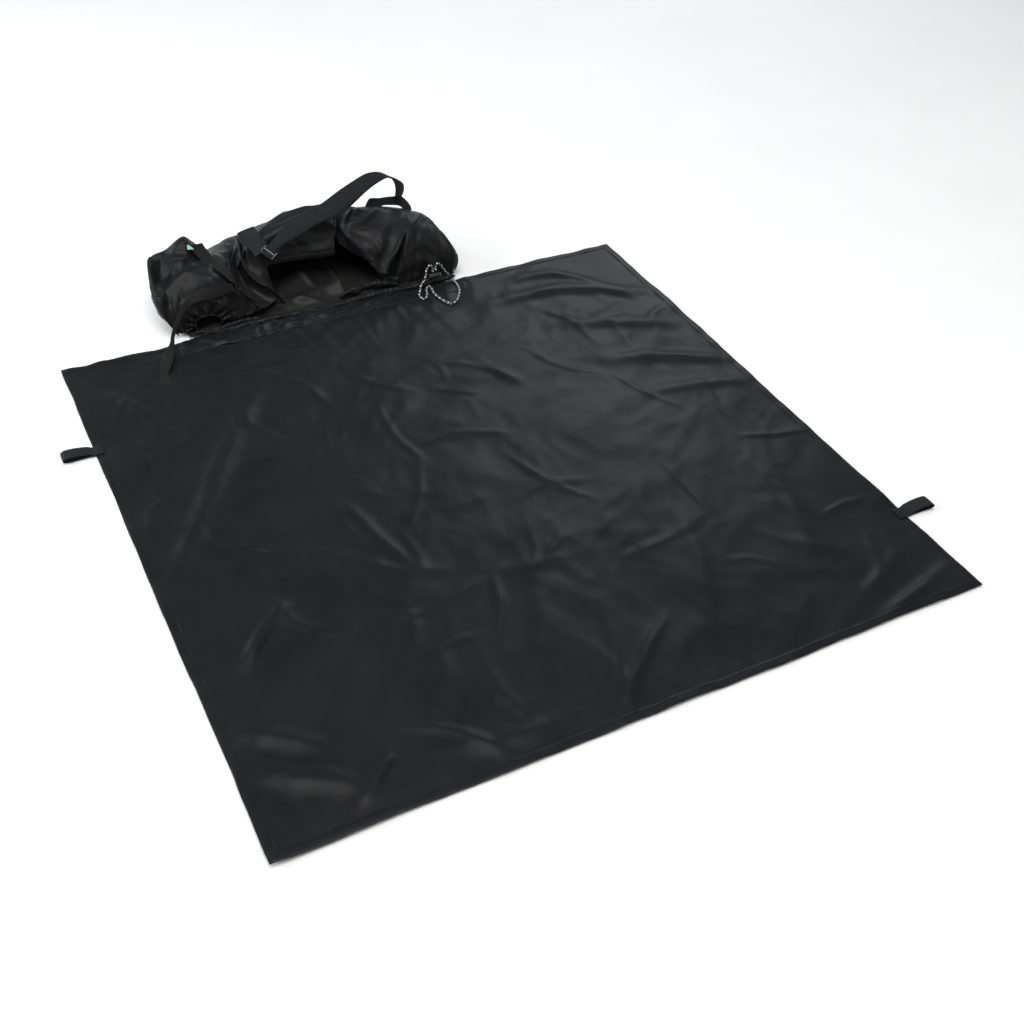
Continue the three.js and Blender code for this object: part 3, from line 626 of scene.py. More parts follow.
BACK_PANEL = [
    [[-156.7, 692.0, 76.7], [-172.0, 703.0, 97.4], [-186.5, 720, 105.6], [-179.9, 760, 104.1], [-171.2, 790, 93.8], [-186, 843, 66], [-186, 900, 6]],
    [[-122.5, 700, 71.4], [-133.4, 715, 105.3], [-137.9, 740, 123.2], [-132.9, 775, 118.3], [-118.8, 800, 109.7], [-130, 848, 74], [-135, 902, 6]],
    [[-81.7, 700, 69], [-77.9, 715, 102], [-73.1, 740, 129.6], [-59.9, 775, 137], [-47, 800, 131.3], [-60, 850, 80], [-65, 903, 6]],
    [[-38.4, 700, 63.6], [-30.5, 715, 96.1], [-19.2, 740, 122.6], [-3.3, 775, 129.7], [8, 800, 124.5], [-10, 850, 78], [-10, 903, 6]],
    [[-5.3, 700, 63.1], [-0.1, 715, 89.3], [8.6, 740, 109.7], [29.4, 775, 118.2], [43.4, 800, 114.9], [34, 846, 72], [40, 902, 6]],
]
CORD_LOOP = [
    [[177.5, 610, 28.9], [177.5, 612.9, 37.6], [176.4, 613.9, 40.6], [172.6, 613.6, 42.6], [167.4, 612, 41.4], [163, 609.5, 36.5], [159.6, 606, 28.5], [156, 602, 21.5], [151, 599.2, 16.8], [144, 594, 15], [137.5, 586, 10.5], [132.5, 577, 6.2], [130.2, 576.3, 5.8], [127.5, 559, 5.8], [134, 552.7, 5.8], [144.3, 565.8, 5.8], [151.6, 585.1, 5.8], [160.9, 595.5, 5.8], [162.9, 584.5, 5.8], [159.9, 568.4, 5.8], [160.8, 550.2, 5.8], [165.4, 532.8, 5.8], [170.7, 519.7, 5.8], [179.4, 513.8, 5.8], [194.1, 523, 5.8], [210.2, 547.4, 5.8], [218.5, 572.2, 5.8], [219, 606, 7.8], [214, 612.3, 13], [207, 614, 22], [202, 614.4, 30], [198.6, 614.8, 36.5], [194.2, 615.2, 41.2], [189.4, 614.8, 42.6], [185.8, 613.8, 40.4], [184.5, 612.9, 37.6], [184.5, 610, 28.9]],
]
MOUTH_HEM = [[-189.8, 770.0, 109.2], [-193.8, 742.0, 98.1], [-197.4, 716.0, 85.0], [-195.4, 692.0, 69.7], [-184.6, 668.0, 58.2], [-168.7, 652.0, 51.5], [-154.8, 647.9, 34.0], [-141.8, 646.9, 16.0], [-131.3, 636.3, 7.5]]
HOLE = [-302.6, 625.7, 16.3]
# soft creases of the sack's cloth: points on it, height and half width
SACK_CREASES = [
    [[[-369.1, 674.6, 76.1], [-325.4, 693.4, 91.5], [-306.6, 689.1, 91.9], [-280.6, 667.7, 90.3], [-253.5, 657.8, 76.2]], 7, 13],
    [[[-332.8, 647.8, 54.0], [-309.9, 648.5, 59.6], [-283.6, 639.5, 56.9], [-255.6, 629.0, 35.2]], 5, 9],
    [[[-296.7, 765.2, 136.5], [-309.3, 723.1, 112.3], [-333.1, 702.7, 96.7]], 4, 9],
    [[[-378.4, 738.8, 111.1], [-325.7, 725.8, 112.8], [-276.3, 705.1, 100.8]], 5, 8],
    [[[-253.9, 778.1, 86.4], [-229.6, 696.1, 84.0], [-232.0, 660.9, 66.6]], 4, 8],
    [[[-387.6, 681.4, 83.6], [-381.5, 636.4, 39.5]], 4, 9],
    [[[-300.6, 634.5, 43.9], [-297.8, 625.6, 15.8]], 3, 6],
    [[[-343.7, 637.2, 41.9], [-358.4, 626.9, 19.7]], 3, 6],
    [[[-251.8, 646.0, 67.1], [-211.0, 634.2, 44.0]], 3, 7],
    [[[-110.5, 736.0, 124.8], [-61.0, 752.8, 134.5], [-13.1, 773.1, 131.6]], 4, 8],
    [[[-88.2, 711.9, 97.2], [-47.7, 706.9, 81.9], [-6.5, 707.7, 78.7]], 4, 8],
    [[[-143.1, 796.3, 102.3], [-143.3, 711.9, 104.0]], 4, 7],
    [[[-140.0, 706.3, 94.7], [-101.3, 711.0, 94.7]], 3, 7],
    [[[14.4, 750.5, 113.6], [-3.2, 706.0, 74.9]], 5, 6],
    [[[111.4, 748.5, 120.4], [66.4, 716.7, 117.4], [26.3, 716.5, 115.7]], 6, 8],
    [[[204.3, 725.6, 98.2], [144.8, 663.8, 90.2], [116.1, 647.3, 67.3]], 5, 9],
    [[[100.8, 672.2, 96.1], [63.7, 647.8, 63.4]], 3.5, 7],
    [[[212.7, 695.7, 93.2], [230.0, 638.7, 56.6], [243.1, 643.0, 16.9]], 4, 9],
    [[[123.8, 633.3, 40.1], [164.8, 638.4, 49.2], [202.3, 625.1, 18.1]], 3, 9],
    [[[23.9, 688.0, 103.5], [54.7, 671.7, 94.2], [75.5, 647.5, 64.7]], 3.5, 8],
    [[[83.1, 745.9, 123.4], [56.7, 738.5, 123.4]], 4, 6],
    [[[149.8, 628.1, 23.5], [137.4, 622.0, 5.2]], 3, 5],
    [[[143.8, 707.6, 111.9], [99.8, 686.0, 104.7], [73.4, 657.5, 80.7]], 3, 8],
]
PLEAT = [[142.3, 671.2, 95.9], [126.5, 658.7, 83.5], [110.9, 647.2, 67.0], [95.5, 638.4, 49.5], [84.3, 628.1, 26.8]]

# ------------------------------------------------------------------ ground sheet
H = 0.6  # half of the sheet's side
HEM_ROWS = [0, 0.0005, 0.0020, 0.0060, 0.0110, 0.0142, 0.0150, 0.0158, 0.0175]


def ridge_line(x, y, pts, height, width, sharp=1.0):
    """A long soft crease along a polyline, fading out at its ends."""
    p = even(cr(np.array(pts, float), 8), n=60)
    best = np.full(x.shape, 1e9)
    at = np.zeros(x.shape)
    for i, (px, py) in enumerate(p):
        d = (x - px) ** 2 + (y - py) ** 2
        m = d < best
        best = np.where(m, d, best)
        at = np.where(m, i / 59.0, at)
    fade = np.clip(np.sin(np.clip(at, 0.02, 0.98) * math.pi), 0, 1) ** 0.6
    d = np.sqrt(best)
    return height * fade * np.exp(-((d / width) ** (2 * sharp)))


CREASES = [
    ([(-0.262, 0.421), (-0.398, 0.226), (-0.487, 0.078), (-0.587, -0.081)], 0.0088, 0.021),
    ([(-0.416, -0.161), (-0.473, -0.209), (-0.533, -0.269)], 0.0066, 0.011),
    ([(-0.390, -0.503), (-0.428, -0.534), (-0.463, -0.567)], 0.0066, 0.010),
    ([(0.098, -0.437), (0.023, -0.496), (-0.061, -0.566)], 0.0048, 0.010),
    ([(0.584, -0.537), (0.498, -0.566), (0.409, -0.588)], 0.0065, 0.012),
    ([(0.540, -0.470), (0.47, -0.51), (0.40, -0.54)], 0.0040, 0.014),
    ([(-0.586, -0.369), (-0.526, -0.407), (-0.466, -0.454)], 0.0062, 0.017),
    ([(-0.573, -0.453), (-0.506, -0.492), (-0.441, -0.542)], 0.0060, 0.017),
    ([(0.221, 0.481), (0.410, 0.471), (0.591, 0.382)], 0.0070, 0.018),
    ([(0.306, 0.548), (0.439, 0.525), (0.545, 0.367)], 0.0060, 0.014),
    ([(0.348, 0.220), (0.471, 0.172), (0.584, 0.114)], 0.0045, 0.018),
    ([(0.385, 0.078), (0.491, 0.059), (0.590, 0.029)], 0.0042, 0.016),
    ([(0.33, 0.36), (0.46, 0.31), (0.58, 0.25)], 0.0050, 0.018),
    ([(-0.321, -0.523), (-0.216, -0.550), (-0.114, -0.540)], 0.0040, 0.018),
    ([(-0.242, -0.337), (-0.269, -0.412), (-0.327, -0.487)], 0.0038, 0.016),
    ([(-0.05, -0.30), (-0.10, -0.40), (-0.18, -0.50)], 0.0034, 0.020),
    ([(0.25, -0.20), (0.22, -0.34), (0.15, -0.48)], 0.0036, 0.018),
    ([(0.45, -0.15), (0.44, -0.30), (0.38, -0.44)], 0.0036, 0.018),
    ([(-0.298, 0.449), (-0.261, 0.443), (-0.180, 0.443)], 0.0040, 0.012),
    ([(-0.212, 0.526), (-0.196, 0.491), (-0.155, 0.473)], 0.0045, 0.009),
    ([(-0.55, 0.50), (-0.50, 0.42), (-0.47, 0.33)], 0.0045, 0.013),
    ([(-0.58, 0.36), (-0.52, 0.30), (-0.50, 0.20)], 0.0035, 0.012),
]
_r = np.random.RandomState(5)
for _ in range(64):
    cx, cy = _r.uniform(-0.56, 0.56, 2)
    a = _r.uniform(0, math.pi)
    L = _r.uniform(0.03, 0.10)
    bend = _r.uniform(-0.25, 0.25) * L
    dx, dy = math.cos(a), math.sin(a)
    CREASES.append(([(cx - dx * L, cy - dy * L), (cx - dy * bend, cy + dx * bend), (cx + dx * L, cy + dy * L)], _r.uniform(0.0012, 0.0032), _r.uniform(0.006, 0.013)))


LOW_CORD = even(np.array([p[:2] + [0.0] for p in CORD_LOOP[0] if p[2] < 8.5], float) / 1000.0, step=0.004)


def cord_gap(x, y):
    """Distance beyond 6 mm from the part of the cord that lies on the sheet."""
    x, y = np.asarray(x, float), np.asarray(y, float)
    out = np.full(x.shape, 0.2)
    near = (x > 0.08) & (x < 0.27) & (y > 0.46) & (y < 0.63)
    if near.any():
        q = np.stack([x[near], y[near]], 1)
        d = np.sqrt(((q[:, None, :] - LOW_CORD[None, :, :2]) ** 2).sum(2)).min(1)
        out[near] = np.maximum(0, d - 0.006)
    return out


def sheet_height(x, y):
    sh = x.shape
    x, y = x.reshape(-1), y.reshape(-1)
    p = np.stack([x, y, np.zeros_like(x)], 1)
    wx = fbm(p * 2.6 + 5.1, 2) * 0.07
    wy = fbm(p * 2.6 + 19.4, 2) * 0.07
    qx, qy = x + wx, y + wy
    h = 0.0018 + 0.0020 * fbm(np.stack([qx * 4.5, qy * 4.5, 0 * x], 1), 3)
    c, s = math.cos(math.radians(38)), math.sin(math.radians(38))
    u, v = c * qx + s * qy, -s * qx + c * qy
    h += 0.0017 * ridged(np.stack([u * 3.2, v * 9.0, 0 * x + 2.2], 1), 2)
    h += 0.0013 * ridged(np.stack([qx * 11.0, qy * 8.0, 0 * x + 7.7], 1), 2)
    for pts, a, w in CREASES:
        h += ridge_line(x, y, pts, a, w)
    # puckers where the sack is sewn on
    along = smooth((x + 0.400) / 0.05) * smooth((0.260 - x) / 0.05)
    fade = np.exp(-((0.600 - y) / 0.085) ** 1.4) * along
    ph = 2 * math.pi * (x / 0.031 + 0.9 * fbm(np.stack([x * 9, y * 3, 0 * x + 1.3], 1), 2))
    h += 0.0022 * fade * (0.6 + np.sin(ph)) * (0.6 + 0.8 * fbm(np.stack([x * 13, 0 * x, 0 * x], 1), 1))
    # the edges are drawn in a little by their stitching
    e = np.minimum(H - np.abs(x), H - np.abs(y))
    s_edge = np.where(H - np.abs(x) < H - np.abs(y), y, x)
    h += 0.0012 * np.exp(-((e / 0.035) ** 2)) * fbm(np.stack([s_edge * 16, np.sign(x) * 3.0, np.sign(y) * 5.0], 1), 2)
    h = 0.5 * (h + np.sqrt(h * h + 0.0012 ** 2))
    for tx, ty in ((-0.597, 0.331), (0.597, -0.405)):  # held flat under each tab's stitching
        d = np.maximum(0, np.hypot(x - tx, y - ty) - 0.017)
        h = np.minimum(h, 0.0011 + 0.10 * d)
    return np.minimum(np.minimum(h, 0.0105), 0.0012 + 0.14 * cord_gap(x, y)).reshape(sh)


def edge_shift(s, seed):
    p = np.stack([s * 4.0, s * 0 + seed, s * 0], 1)
    q = np.stack([s * 13.0, s * 0 + seed * 2, s * 0], 1)
    return 0.0030 * fbm(p, 2) + 0.0010 * fbm(q, 2)


def sheet_xy(x, y):
    """The flat sheet's points with its edges' gentle waves."""
    sh = x.shape
    x, y = x.reshape(-1).copy(), y.reshape(-1).copy()
    fx = np.exp(-((H - np.abs(x)) / 0.10))
    fy = np.exp(-((H - np.abs(y)) / 0.10))
    corner = 1 - np.exp(-((H - np.abs(x)) / 0.04)) * 1.0
    cornery = 1 - np.exp(-((H - np.abs(y)) / 0.04)) * 1.0
    dx = np.where(x > 0, edge_shift(y, 3.3), edge_shift(y, 8.8)) * fx * cornery
    dy = np.where(y > 0, edge_shift(x, 13.7), edge_shift(x, 21.9)) * fy * corner
    return (x + dx).reshape(sh), (y + dy).reshape(sh)


CLOTH_T = 0.0008
STEP = 0.0045
mid = np.arange(-H + 0.0175 + STEP, H - 0.0175 - STEP / 2, STEP)
xs = np.concatenate([-H + np.array(HEM_ROWS), mid, (H - np.array(HEM_ROWS))[::-1]])
X, Y = np.meshgrid(xs, xs, indexing="ij")
X2, Y2 = sheet_xy(X, Y)
Zs = sheet_height(X, Y) + CLOTH_T + 0.0002
E = np.minimum(H - np.abs(X), H - np.abs(Y))
along = np.where(H - np.abs(X) < H - np.abs(Y), Y, X)
hem = 0.0007 * smooth((0.0158 - E) / 0.0016) * (0.85 + 0.25 * np.sin(along * 2 * math.pi / 0.0042))
hem -= 0.0007 * np.exp(-((E / 0.0012) ** 2))
hem -= 0.00030 * np.exp(-(((E - 0.0125) / 0.0011) ** 2))
Zs = Zs + hem
sheet_v = np.stack([X2, Y2, Zs], 2)
sheet = make_mesh("ground_sheet_cloth", sheet_v.reshape(-1, 3), grid_faces(len(xs), len(xs)), M_SHEET, uv=np.stack([X, Y], 2).reshape(-1, 2))
thicken(sheet, CLOTH_T)
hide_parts("ground_sheet_rear", "ground_sheet_front")
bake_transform(sheet)


def on_sheet(x, y, extra=0.0):
    """Points lying on the cloth's top face."""
    x, y = np.asarray(x, float), np.asarray(y, float)
    a, b = sheet_xy(x, y)
    return np.stack([a, b, sheet_height(x, y) + CLOTH_T + 0.0002 + extra], -1)


rows = []
for side in range(4):
    s = np.linspace(-H + 0.0125, H - 0.0125, 500)
    k = np.full_like(s, H - 0.0125)
    x, y = [(s, k), (k, s), (s, -k), (-k, s)][side]
    rows.append(stitches("hem_stitches_%d" % side, on_sheet(x, y, 0.0004), (0, 0, 1), M_THREAD, slot="sheet_nylon"))
for r in rows:
    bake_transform(r)

# ------------------------------------------------------------------ side tabs
def side_tab(name, node, body, sign, yc, curl):
    loop = [(0.0045, 0.0034), (0.012, 0.0028), (0.030, 0.0023), (0.046, 0.0028), (0.0535, 0.0046 + curl * 0.3), (0.0560, 0.0078 + curl * 0.6), (0.0535, 0.0112 + curl * 0.6), (0.046, 0.0118 + curl * 0.3), (0.030, 0.0100), (0.012, 0.0068), (0.0045, 0.0050)]
    pairs = []
    for k, (s, z) in enumerate(loop):
        skew = 0.0018 * math.sin(k * 0.9)
        pairs.append([[sign * (0.6005 + s), yc - 0.0125 + skew, z], [sign * (0.6005 + s), yc + 0.0125 + skew, z + 0.0006 * math.sin(k)]])
    ob, info = webbing(name, pairs, M_WEB, body, n=6, step=0.0016, across=13, wobble=0.0005, replaces=[node])
    return ob


side_tab("left_tab_loop", "left_side_tab", "left_tab", -1, 0.331, 0.0)
side_tab("right_tab_loop", "right_side_tab", "right_tab", 1, -0.405, 0.0016)
for name, node, body, sign, yc in (("left_tab_root", "left_tab_sewn_end", "bag", -1, 0.331), ("right_tab_root", "right_tab_sewn_end", "sheet_front", 1, -0.405)):
    px = np.linspace(0.5960, 0.5850, 6)
    pr = []
    for x in px:
        a = on_sheet([sign * x], [yc - 0.0125], 0.0021)[0]
        b = on_sheet([sign * x], [yc + 0.0125], 0.0021)[0]
        z = max(a[2], b[2])
        pr.append([[a[0], a[1], z], [b[0], b[1], z]])
    root, _i = webbing(name, pr, M_WEB, body, n=4, step=0.0012, across=13, thick=0.0012, replaces=[node])
    zz = max(q[0][2] for q in pr) + 0.0007
    z0_ = pr[0][0][2]
    hp = [[[sign * x_, yc - 0.0124, z_], [sign * x_, yc + 0.0124, z_]] for x_, z_ in ((0.5953, z0_ + 0.0001), (0.5980, z0_ * 0.7 + 0.0042 * 0.3), (0.6010, 0.0043), (0.6030, 0.0042), (0.6050, 0.0042))]
    bend_, _b = webbing(name + "_bend", hp, M_WEB, None, n=6, step=0.0006, across=13, thick=0.0021)
    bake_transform(bend_)
    for j, xx in enumerate((0.5872, 0.5930)):
        ln = np.stack([np.full(40, sign * xx), np.linspace(yc - 0.0112, yc + 0.0112, 40), np.full(40, zz)], 1)
        stitches("%s_bartack_%d" % (name, j), ln, (0, 0, 1), M_THREAD, body=body, pitch=0.0022, length=0.0019, r=0.0004, slot="webbing")

# ------------------------------------------------------------------ sack: one cloth skin over the two hoods and the back
NU, NV = ((8, 8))


def patch(ctrl):
    g = cr(np.array(ctrl, float) / 1000.0, NU)
    return cr(g.transpose(1, 0, 2), NV).transpose(1, 0, 2)


LHg, BKg, RHg = patch(LEFT_HOOD), patch(BACK_PANEL), patch(RIGHT_HOOD)
NR = LHg.shape[1]
ridge = 4 * NV


def bridge(a, b, k, sag):
    """Cloth between two panels' edges: taut over the ridge, tucked in at the mouth."""
    t = np.linspace(0, 1, k + 2)[1:-1]
    r = np.arange(NR) / (NR - 1)
    depth = sag * smooth((ridge - np.arange(NR)) / (ridge * 0.45))
    out = []
    for u in t:
        c = a * (1 - u) + b * u
        c = c + np.stack([0 * depth, depth * 0.75, -depth * 0.75], 1) * math.sin(math.pi * u)
        out.append(c)
    return np.array(out)


KB = 9
sack0 = np.concatenate([LHg, bridge(LHg[-1], BKg[0], KB, 0.020), BKg, bridge(BKg[-1], RHg[0], KB, 0.014), RHg])
NC = len(sack0)
c_lh = (0, len(LHg) - 1)
c_bk = (len(LHg) + KB, len(LHg) + KB + len(BKg) - 1)
c_rh = (NC - len(RHg), NC - 1)
sack0[:, :, 2] = np.maximum(sack0[:, :, 2], 0.0045)


def simulate(g, pins, name, frames=30, shrink=-0.040, gravity=0.04, stiff=22.0, bend=0.25, cap=0.012):
    """Blender's cloth on a grid: the cloth is a little too large for its place, so it buckles into folds."""
    nu, nv = g.shape[:2]
    ob = make_mesh(name, g.reshape(-1, 3), grid_faces(nu, nv))
    vg = ob.vertex_groups.new(name="pin")
    w = pins.reshape(-1)
    for level in np.unique(np.round(w, 2)):
        ids = np.nonzero(np.abs(w - level) < 0.005)[0]
        vg.add([int(i) for i in ids], float(level), "REPLACE")
    m = ob.modifiers.new("cloth", "CLOTH")
    s = m.settings
    s.quality = 6
    s.mass = 0.12
    s.tension_stiffness = s.compression_stiffness = stiff
    s.shear_stiffness = stiff * 0.5
    s.bending_stiffness = bend
    s.tension_damping = s.compression_damping = 6
    s.shear_damping = 4
    s.bending_damping = 0.5
    s.air_damping = 2.0
    s.vertex_group_mass = "pin"
    s.pin_stiffness = 1.0
    s.shrink_min = shrink
    s.effector_weights.gravity = gravity
    m.collision_settings.use_collision = False
    m.collision_settings.use_self_collision = False
    m.point_cache.frame_start, m.point_cache.frame_end = 1, frames
    sc = bpy.context.scene
    for f in range(1, frames + 1):
        sc.frame_set(f)
    ev = ob.evaluated_get(bpy.context.evaluated_depsgraph_get())
    co = np.empty(len(ev.data.vertices) * 3, np.float32)
    ev.data.vertices.foreach_get("co", co)
    out = co.reshape(nu, nv, 3).astype(float)
    sc.frame_set(1)
    bpy.data.objects.remove(ob, do_unlink=True)
    d = out - g
    L = np.linalg.norm(d, axis=2, keepdims=True)
    out = g + d * np.minimum(1, cap / np.maximum(L, 1e-9))
    return out


def soften(a, sg):
    k = np.arange(-int(3 * sg), int(3 * sg) + 1)
    g = np.exp(-0.5 * (k / sg) ** 2)
    g /= g.sum()
    for ax in (0, 1):
        pad = [(0, 0)] * a.ndim
        pad[ax] = (len(k) // 2, len(k) // 2)
        q = np.pad(a, pad, mode="edge")
        a = sum(w * np.take(q, np.arange(a.shape[ax]) + j, axis=ax) for j, w in enumerate(g))
    return a


def pin_map():
    w = np.full((NC, NR), 0.02)
    w[:, ridge - 1 : ridge + 2] = 0.75
    w[:, 1] = 0.6
    w[:, -3:] = 1.0
    w[:2] = 1.0
    w[-2:] = 1.0
    for c in (c_lh[1], c_bk[0], c_bk[1], c_rh[0]):
        w[c, :ridge] = 0.9
    w[:, 0] = 1.0
    return w


sack = sack0
start = sack0.copy()
nr0 = grid_normals(sack0)
jit = fbm(sack0.reshape(-1, 3) * 16, 2).reshape(NC, NR, 1) * 0.0015
start = sack0 + nr0 * jit
sack = simulate(start, pin_map(), "sack_sim")
moved = sack - sack0
wide = soften(moved, 2.6)
sack = sack0 + 1.15 * wide + 0.10 * (moved - wide)
sack[:, :, 2] = np.maximum(sack[:, :, 2], 0.0035)


def refine(g, k):
    g = cr(g, k)
    return cr(g.transpose(1, 0, 2), k).transpose(1, 0, 2)


UP = 3
fine = refine(sack, UP)
nrm = grid_normals(fine)
fc = np.arange(len(fine)) / UP  # column and row in control steps
fr = np.arange(fine.shape[1]) / UP
FC, FR = np.meshgrid(fc, fr, indexing="ij")
pf = fine.reshape(-1, 3)
rowd = grid_uv(fine)[:, 1].reshape(fine.shape[:2])
lenu = grid_uv(fine)[:, 0].reshape(fine.shape[:2])
# gathers where the drawcord hem draws the cloth in
hood = np.maximum(smooth((c_lh[1] + 2 - FC) / 4), smooth((FC - c_rh[0] + 1) / 3))
ph = 2 * math.pi * (pf[:, 0] / 0.0125).reshape(FC.shape) + 2.6 * fbm(pf * 24, 2).reshape(FC.shape)
amp = 0.0022 * hood * np.exp(-((rowd / 0.036) ** 1.3)) * (0.55 + 0.6 * fbm(pf * 12 + 4, 1).reshape(FC.shape))
ph2 = 2 * math.pi * (pf[:, 0] / 0.030).reshape(FC.shape) + 3.4 * fbm(pf * 10 + 8, 2).reshape(FC.shape)
amp2 = 0.0016 * hood * np.exp(-((rowd - 0.02) / 0.055) ** 2)
disp = amp * np.sin(ph) + amp2 * np.sin(ph2)
# soft folds that cross the cloth, and small crumples
q = pf * np.array([13.0, 13.0, 13.0]) + fbm(pf * 6, 2)[:, None] * 0.9
disp = disp + 0.0016 * (ridged(q * 0.42, 1) - 0.35).reshape(FC.shape)
disp = disp + 0.00012 * fbm(pf * 42, 2).reshape(FC.shape)
nf_ = nrm.reshape(-1, 3)
small = []
_q = np.random.RandomState(11)
for _ in range(34):
    i0 = _q.uniform(4, fine.shape[0] - 5)
    j0 = _q.uniform(3 * UP, (ridge + 4) * UP)
    li, lj = _q.uniform(-1, 1) * 6 * UP, _q.uniform(-1, 1) * 9 * UP
    tt = np.linspace(-1, 1, 14)
    gi = np.clip(i0 + li * tt + _q.uniform(-1, 1) * UP * (1 - tt ** 2), 0, fine.shape[0] - 1)
    gj = np.clip(j0 + lj * tt, 1, fine.shape[1] - 2)
    small.append((fine[np.round(gi).astype(int), np.round(gj).astype(int)] * 1000.0, _q.uniform(0.9, 2.0), _q.uniform(4.0, 7.5)))
for pts, a, w in list(SACK_CREASES) + small:
    line = even(cr(np.array(pts, float) / 1000.0, 8), n=40)
    d2 = np.full(len(pf), 1e9)
    at = np.zeros(len(pf))
    for k_, c_ in enumerate(line):
        d_ = ((pf - c_) ** 2).sum(1)
        m_ = d_ < d2
        d2[m_] = d_[m_]
        at[m_] = k_ / 39.0
    fade_ = np.sin(np.clip(at, 0.04, 0.96) * math.pi) ** 0.5
    ii_ = np.round(at * 39).astype(int)
    tan_ = unit(np.gradient(line, axis=0))[ii_]
    sd_ = np.sign(np.sum(np.cross(tan_, nf_) * (pf - line[ii_]), axis=1))
    x_ = (np.sqrt(d2 + 0.0013 ** 2) - 0.0013) / (w / 1000.0) / np.where(sd_ > 0, 2.3, 0.85)
    disp = disp + (1.45 * a / 1000.0 * fade_ * (np.exp(-(x_ ** 1.15)) - 0.22 * np.exp(-(((x_ - 1.9) / 0.8) ** 2)))).reshape(FC.shape)
# the pleat in the right hood: a raised lip over a deep dark fold
line = even(cr(np.array(PLEAT, float) / 1000.0, 8), n=60)
d2 = np.full(len(pf), 1e9)
at = np.zeros(len(pf))
px_ = np.zeros(len(pf))
for k_, c_ in enumerate(line):
    d_ = ((pf - c_) ** 2).sum(1)
    m_ = d_ < d2
    d2[m_] = d_[m_]
    at[m_] = k_ / 59.0
    px_[m_] = pf[m_, 0] - c_[0]
wd = 0.004 + 0.012 * at
t_ = np.sign(px_) * np.sqrt(d2) / wd
open_ = smooth(at * 3.0 + 0.25) * smooth((1.0 - at) * 12 + 0.2)
lip = 0.0065 * np.exp(-(((t_ + 0.55) / 0.5) ** 2))
dig = -0.0190 * np.exp(-(((t_ - 0.60) / 0.50) ** 2))
right_side = (FC.reshape(-1) > c_rh[0] + 1).astype(float)
disp = disp + ((lip + dig) * open_ * right_side * (np.sqrt(d2) < 0.05)).reshape(FC.shape)
hole_c = np.array(HOLE, float) / 1000.0
hx_ = (pf[:, 0] - hole_c[0]) / 0.0265
hz_ = (pf[:, 2] - hole_c[2]) / 0.0155
hd_ = np.sqrt(hx_ ** 2 + hz_ ** 2)
ht_ = np.arctan2(hz_, hx_)
on_left = (FC.reshape(-1) < c_lh[1] - 1) & (pf[:, 1] < 0.70)
gh_ = np.exp(-(((hd_ - 1.0) / 0.85) ** 2)) * on_left * (hd_ > 0.5)
disp = disp + (0.0030 * gh_ * np.sin(13 * ht_ + 2.2 * fbm(pf * 30, 1)) - 0.004 * np.exp(-((hd_ / 1.3) ** 4)) * on_left).reshape(FC.shape)
edge = smooth(np.minimum.reduce([FR / 1.5, (fr[-1] - FR) / 2.0, FC / 2.0, (fc[-1] - FC) / 2.0]) + 0.25)
fine = fine + nrm * (disp * edge)[:, :, None]
fine[:, :, 2] = np.maximum(fine[:, :, 2], 0.0032)
faces = grid_faces(*fine.shape[:2])
# the mouth is open between the back lip and the hoods' rims
nf = fine.shape[1] - 1
fi = np.repeat(np.arange(fine.shape[0] - 1), nf) / UP + 0.5 / UP
fj = np.tile(np.arange(nf), fine.shape[0] - 1) / UP
cut = ((fi > c_lh[1]) & (fi < c_bk[0]) & (fj < 2.35 * NV - 0.5 * NV * np.abs(fi - (c_lh[1] + c_bk[0]) / 2) / KB)) | ((fi > c_bk[1]) & (fi < c_rh[0]) & (fj < 1.3 * NV))
hole_f = ((hd_ < 1.0 + 0.10 * np.sin(5 * ht_ + 1)) & on_left).reshape(FC.shape)
hole_f = hole_f[:-1, :-1] & hole_f[1:, :-1] & hole_f[:-1, 1:] & hole_f[1:, 1:]
cut = cut | hole_f.reshape(-1)
faces = [f for f, c in zip(faces, cut) if not c]
skin = make_mesh("sack_skin", fine.reshape(-1, 3), faces, [M_BAG, M_LINING], uv=grid_uv(fine), body="bag", slot="bag_nylon")
thicken(skin, 0.0007, offset=-1.0, inner=1, rim=0)
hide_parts("left_end_hood", "back_panel", "right_end_hood")


# a rolled, gathered ring round the drawn-up hole
ra = np.linspace(0, 2 * math.pi, 120, endpoint=True)
flat_ = fine.reshape(-1, 3)
left_ok = on_left & (hd_ < 2.2)
ring_pts = []
for t0 in ra:
    goal = np.array([hole_c[0] + 0.0270 * math.cos(t0), 0, hole_c[2] + 0.0160 * math.sin(t0)])
    dd = (flat_[:, 0] - goal[0]) ** 2 + (flat_[:, 2] - goal[2]) ** 2 + np.where(left_ok, 0, 1.0)
    near = np.argsort(dd)[:6]
    ring_pts.append([goal[0], float(np.mean(flat_[near, 1])), max(goal[2], 0.0045)])
ring_pts = np.array(ring_pts)
ring_pts[:, 1] = np.convolve(np.concatenate([ring_pts[-8:-1, 1], ring_pts[:, 1], ring_pts[1:8, 1]]), np.ones(15) / 15, "valid")[: len(ring_pts)]
ring_r = 0.0022 + 0.0006 * fbm(ring_pts * 40, 2)
tube("left_foot_ring", ring_pts, ring_r[:, None] * (1 + 0.10 * np.sin(13 * ra + 2.0 * fbm(ring_pts * 60, 1))[:, None] * np.ones((1, 14))), sides=14, material=M_BAG, body="bag", slot="bag_nylon")
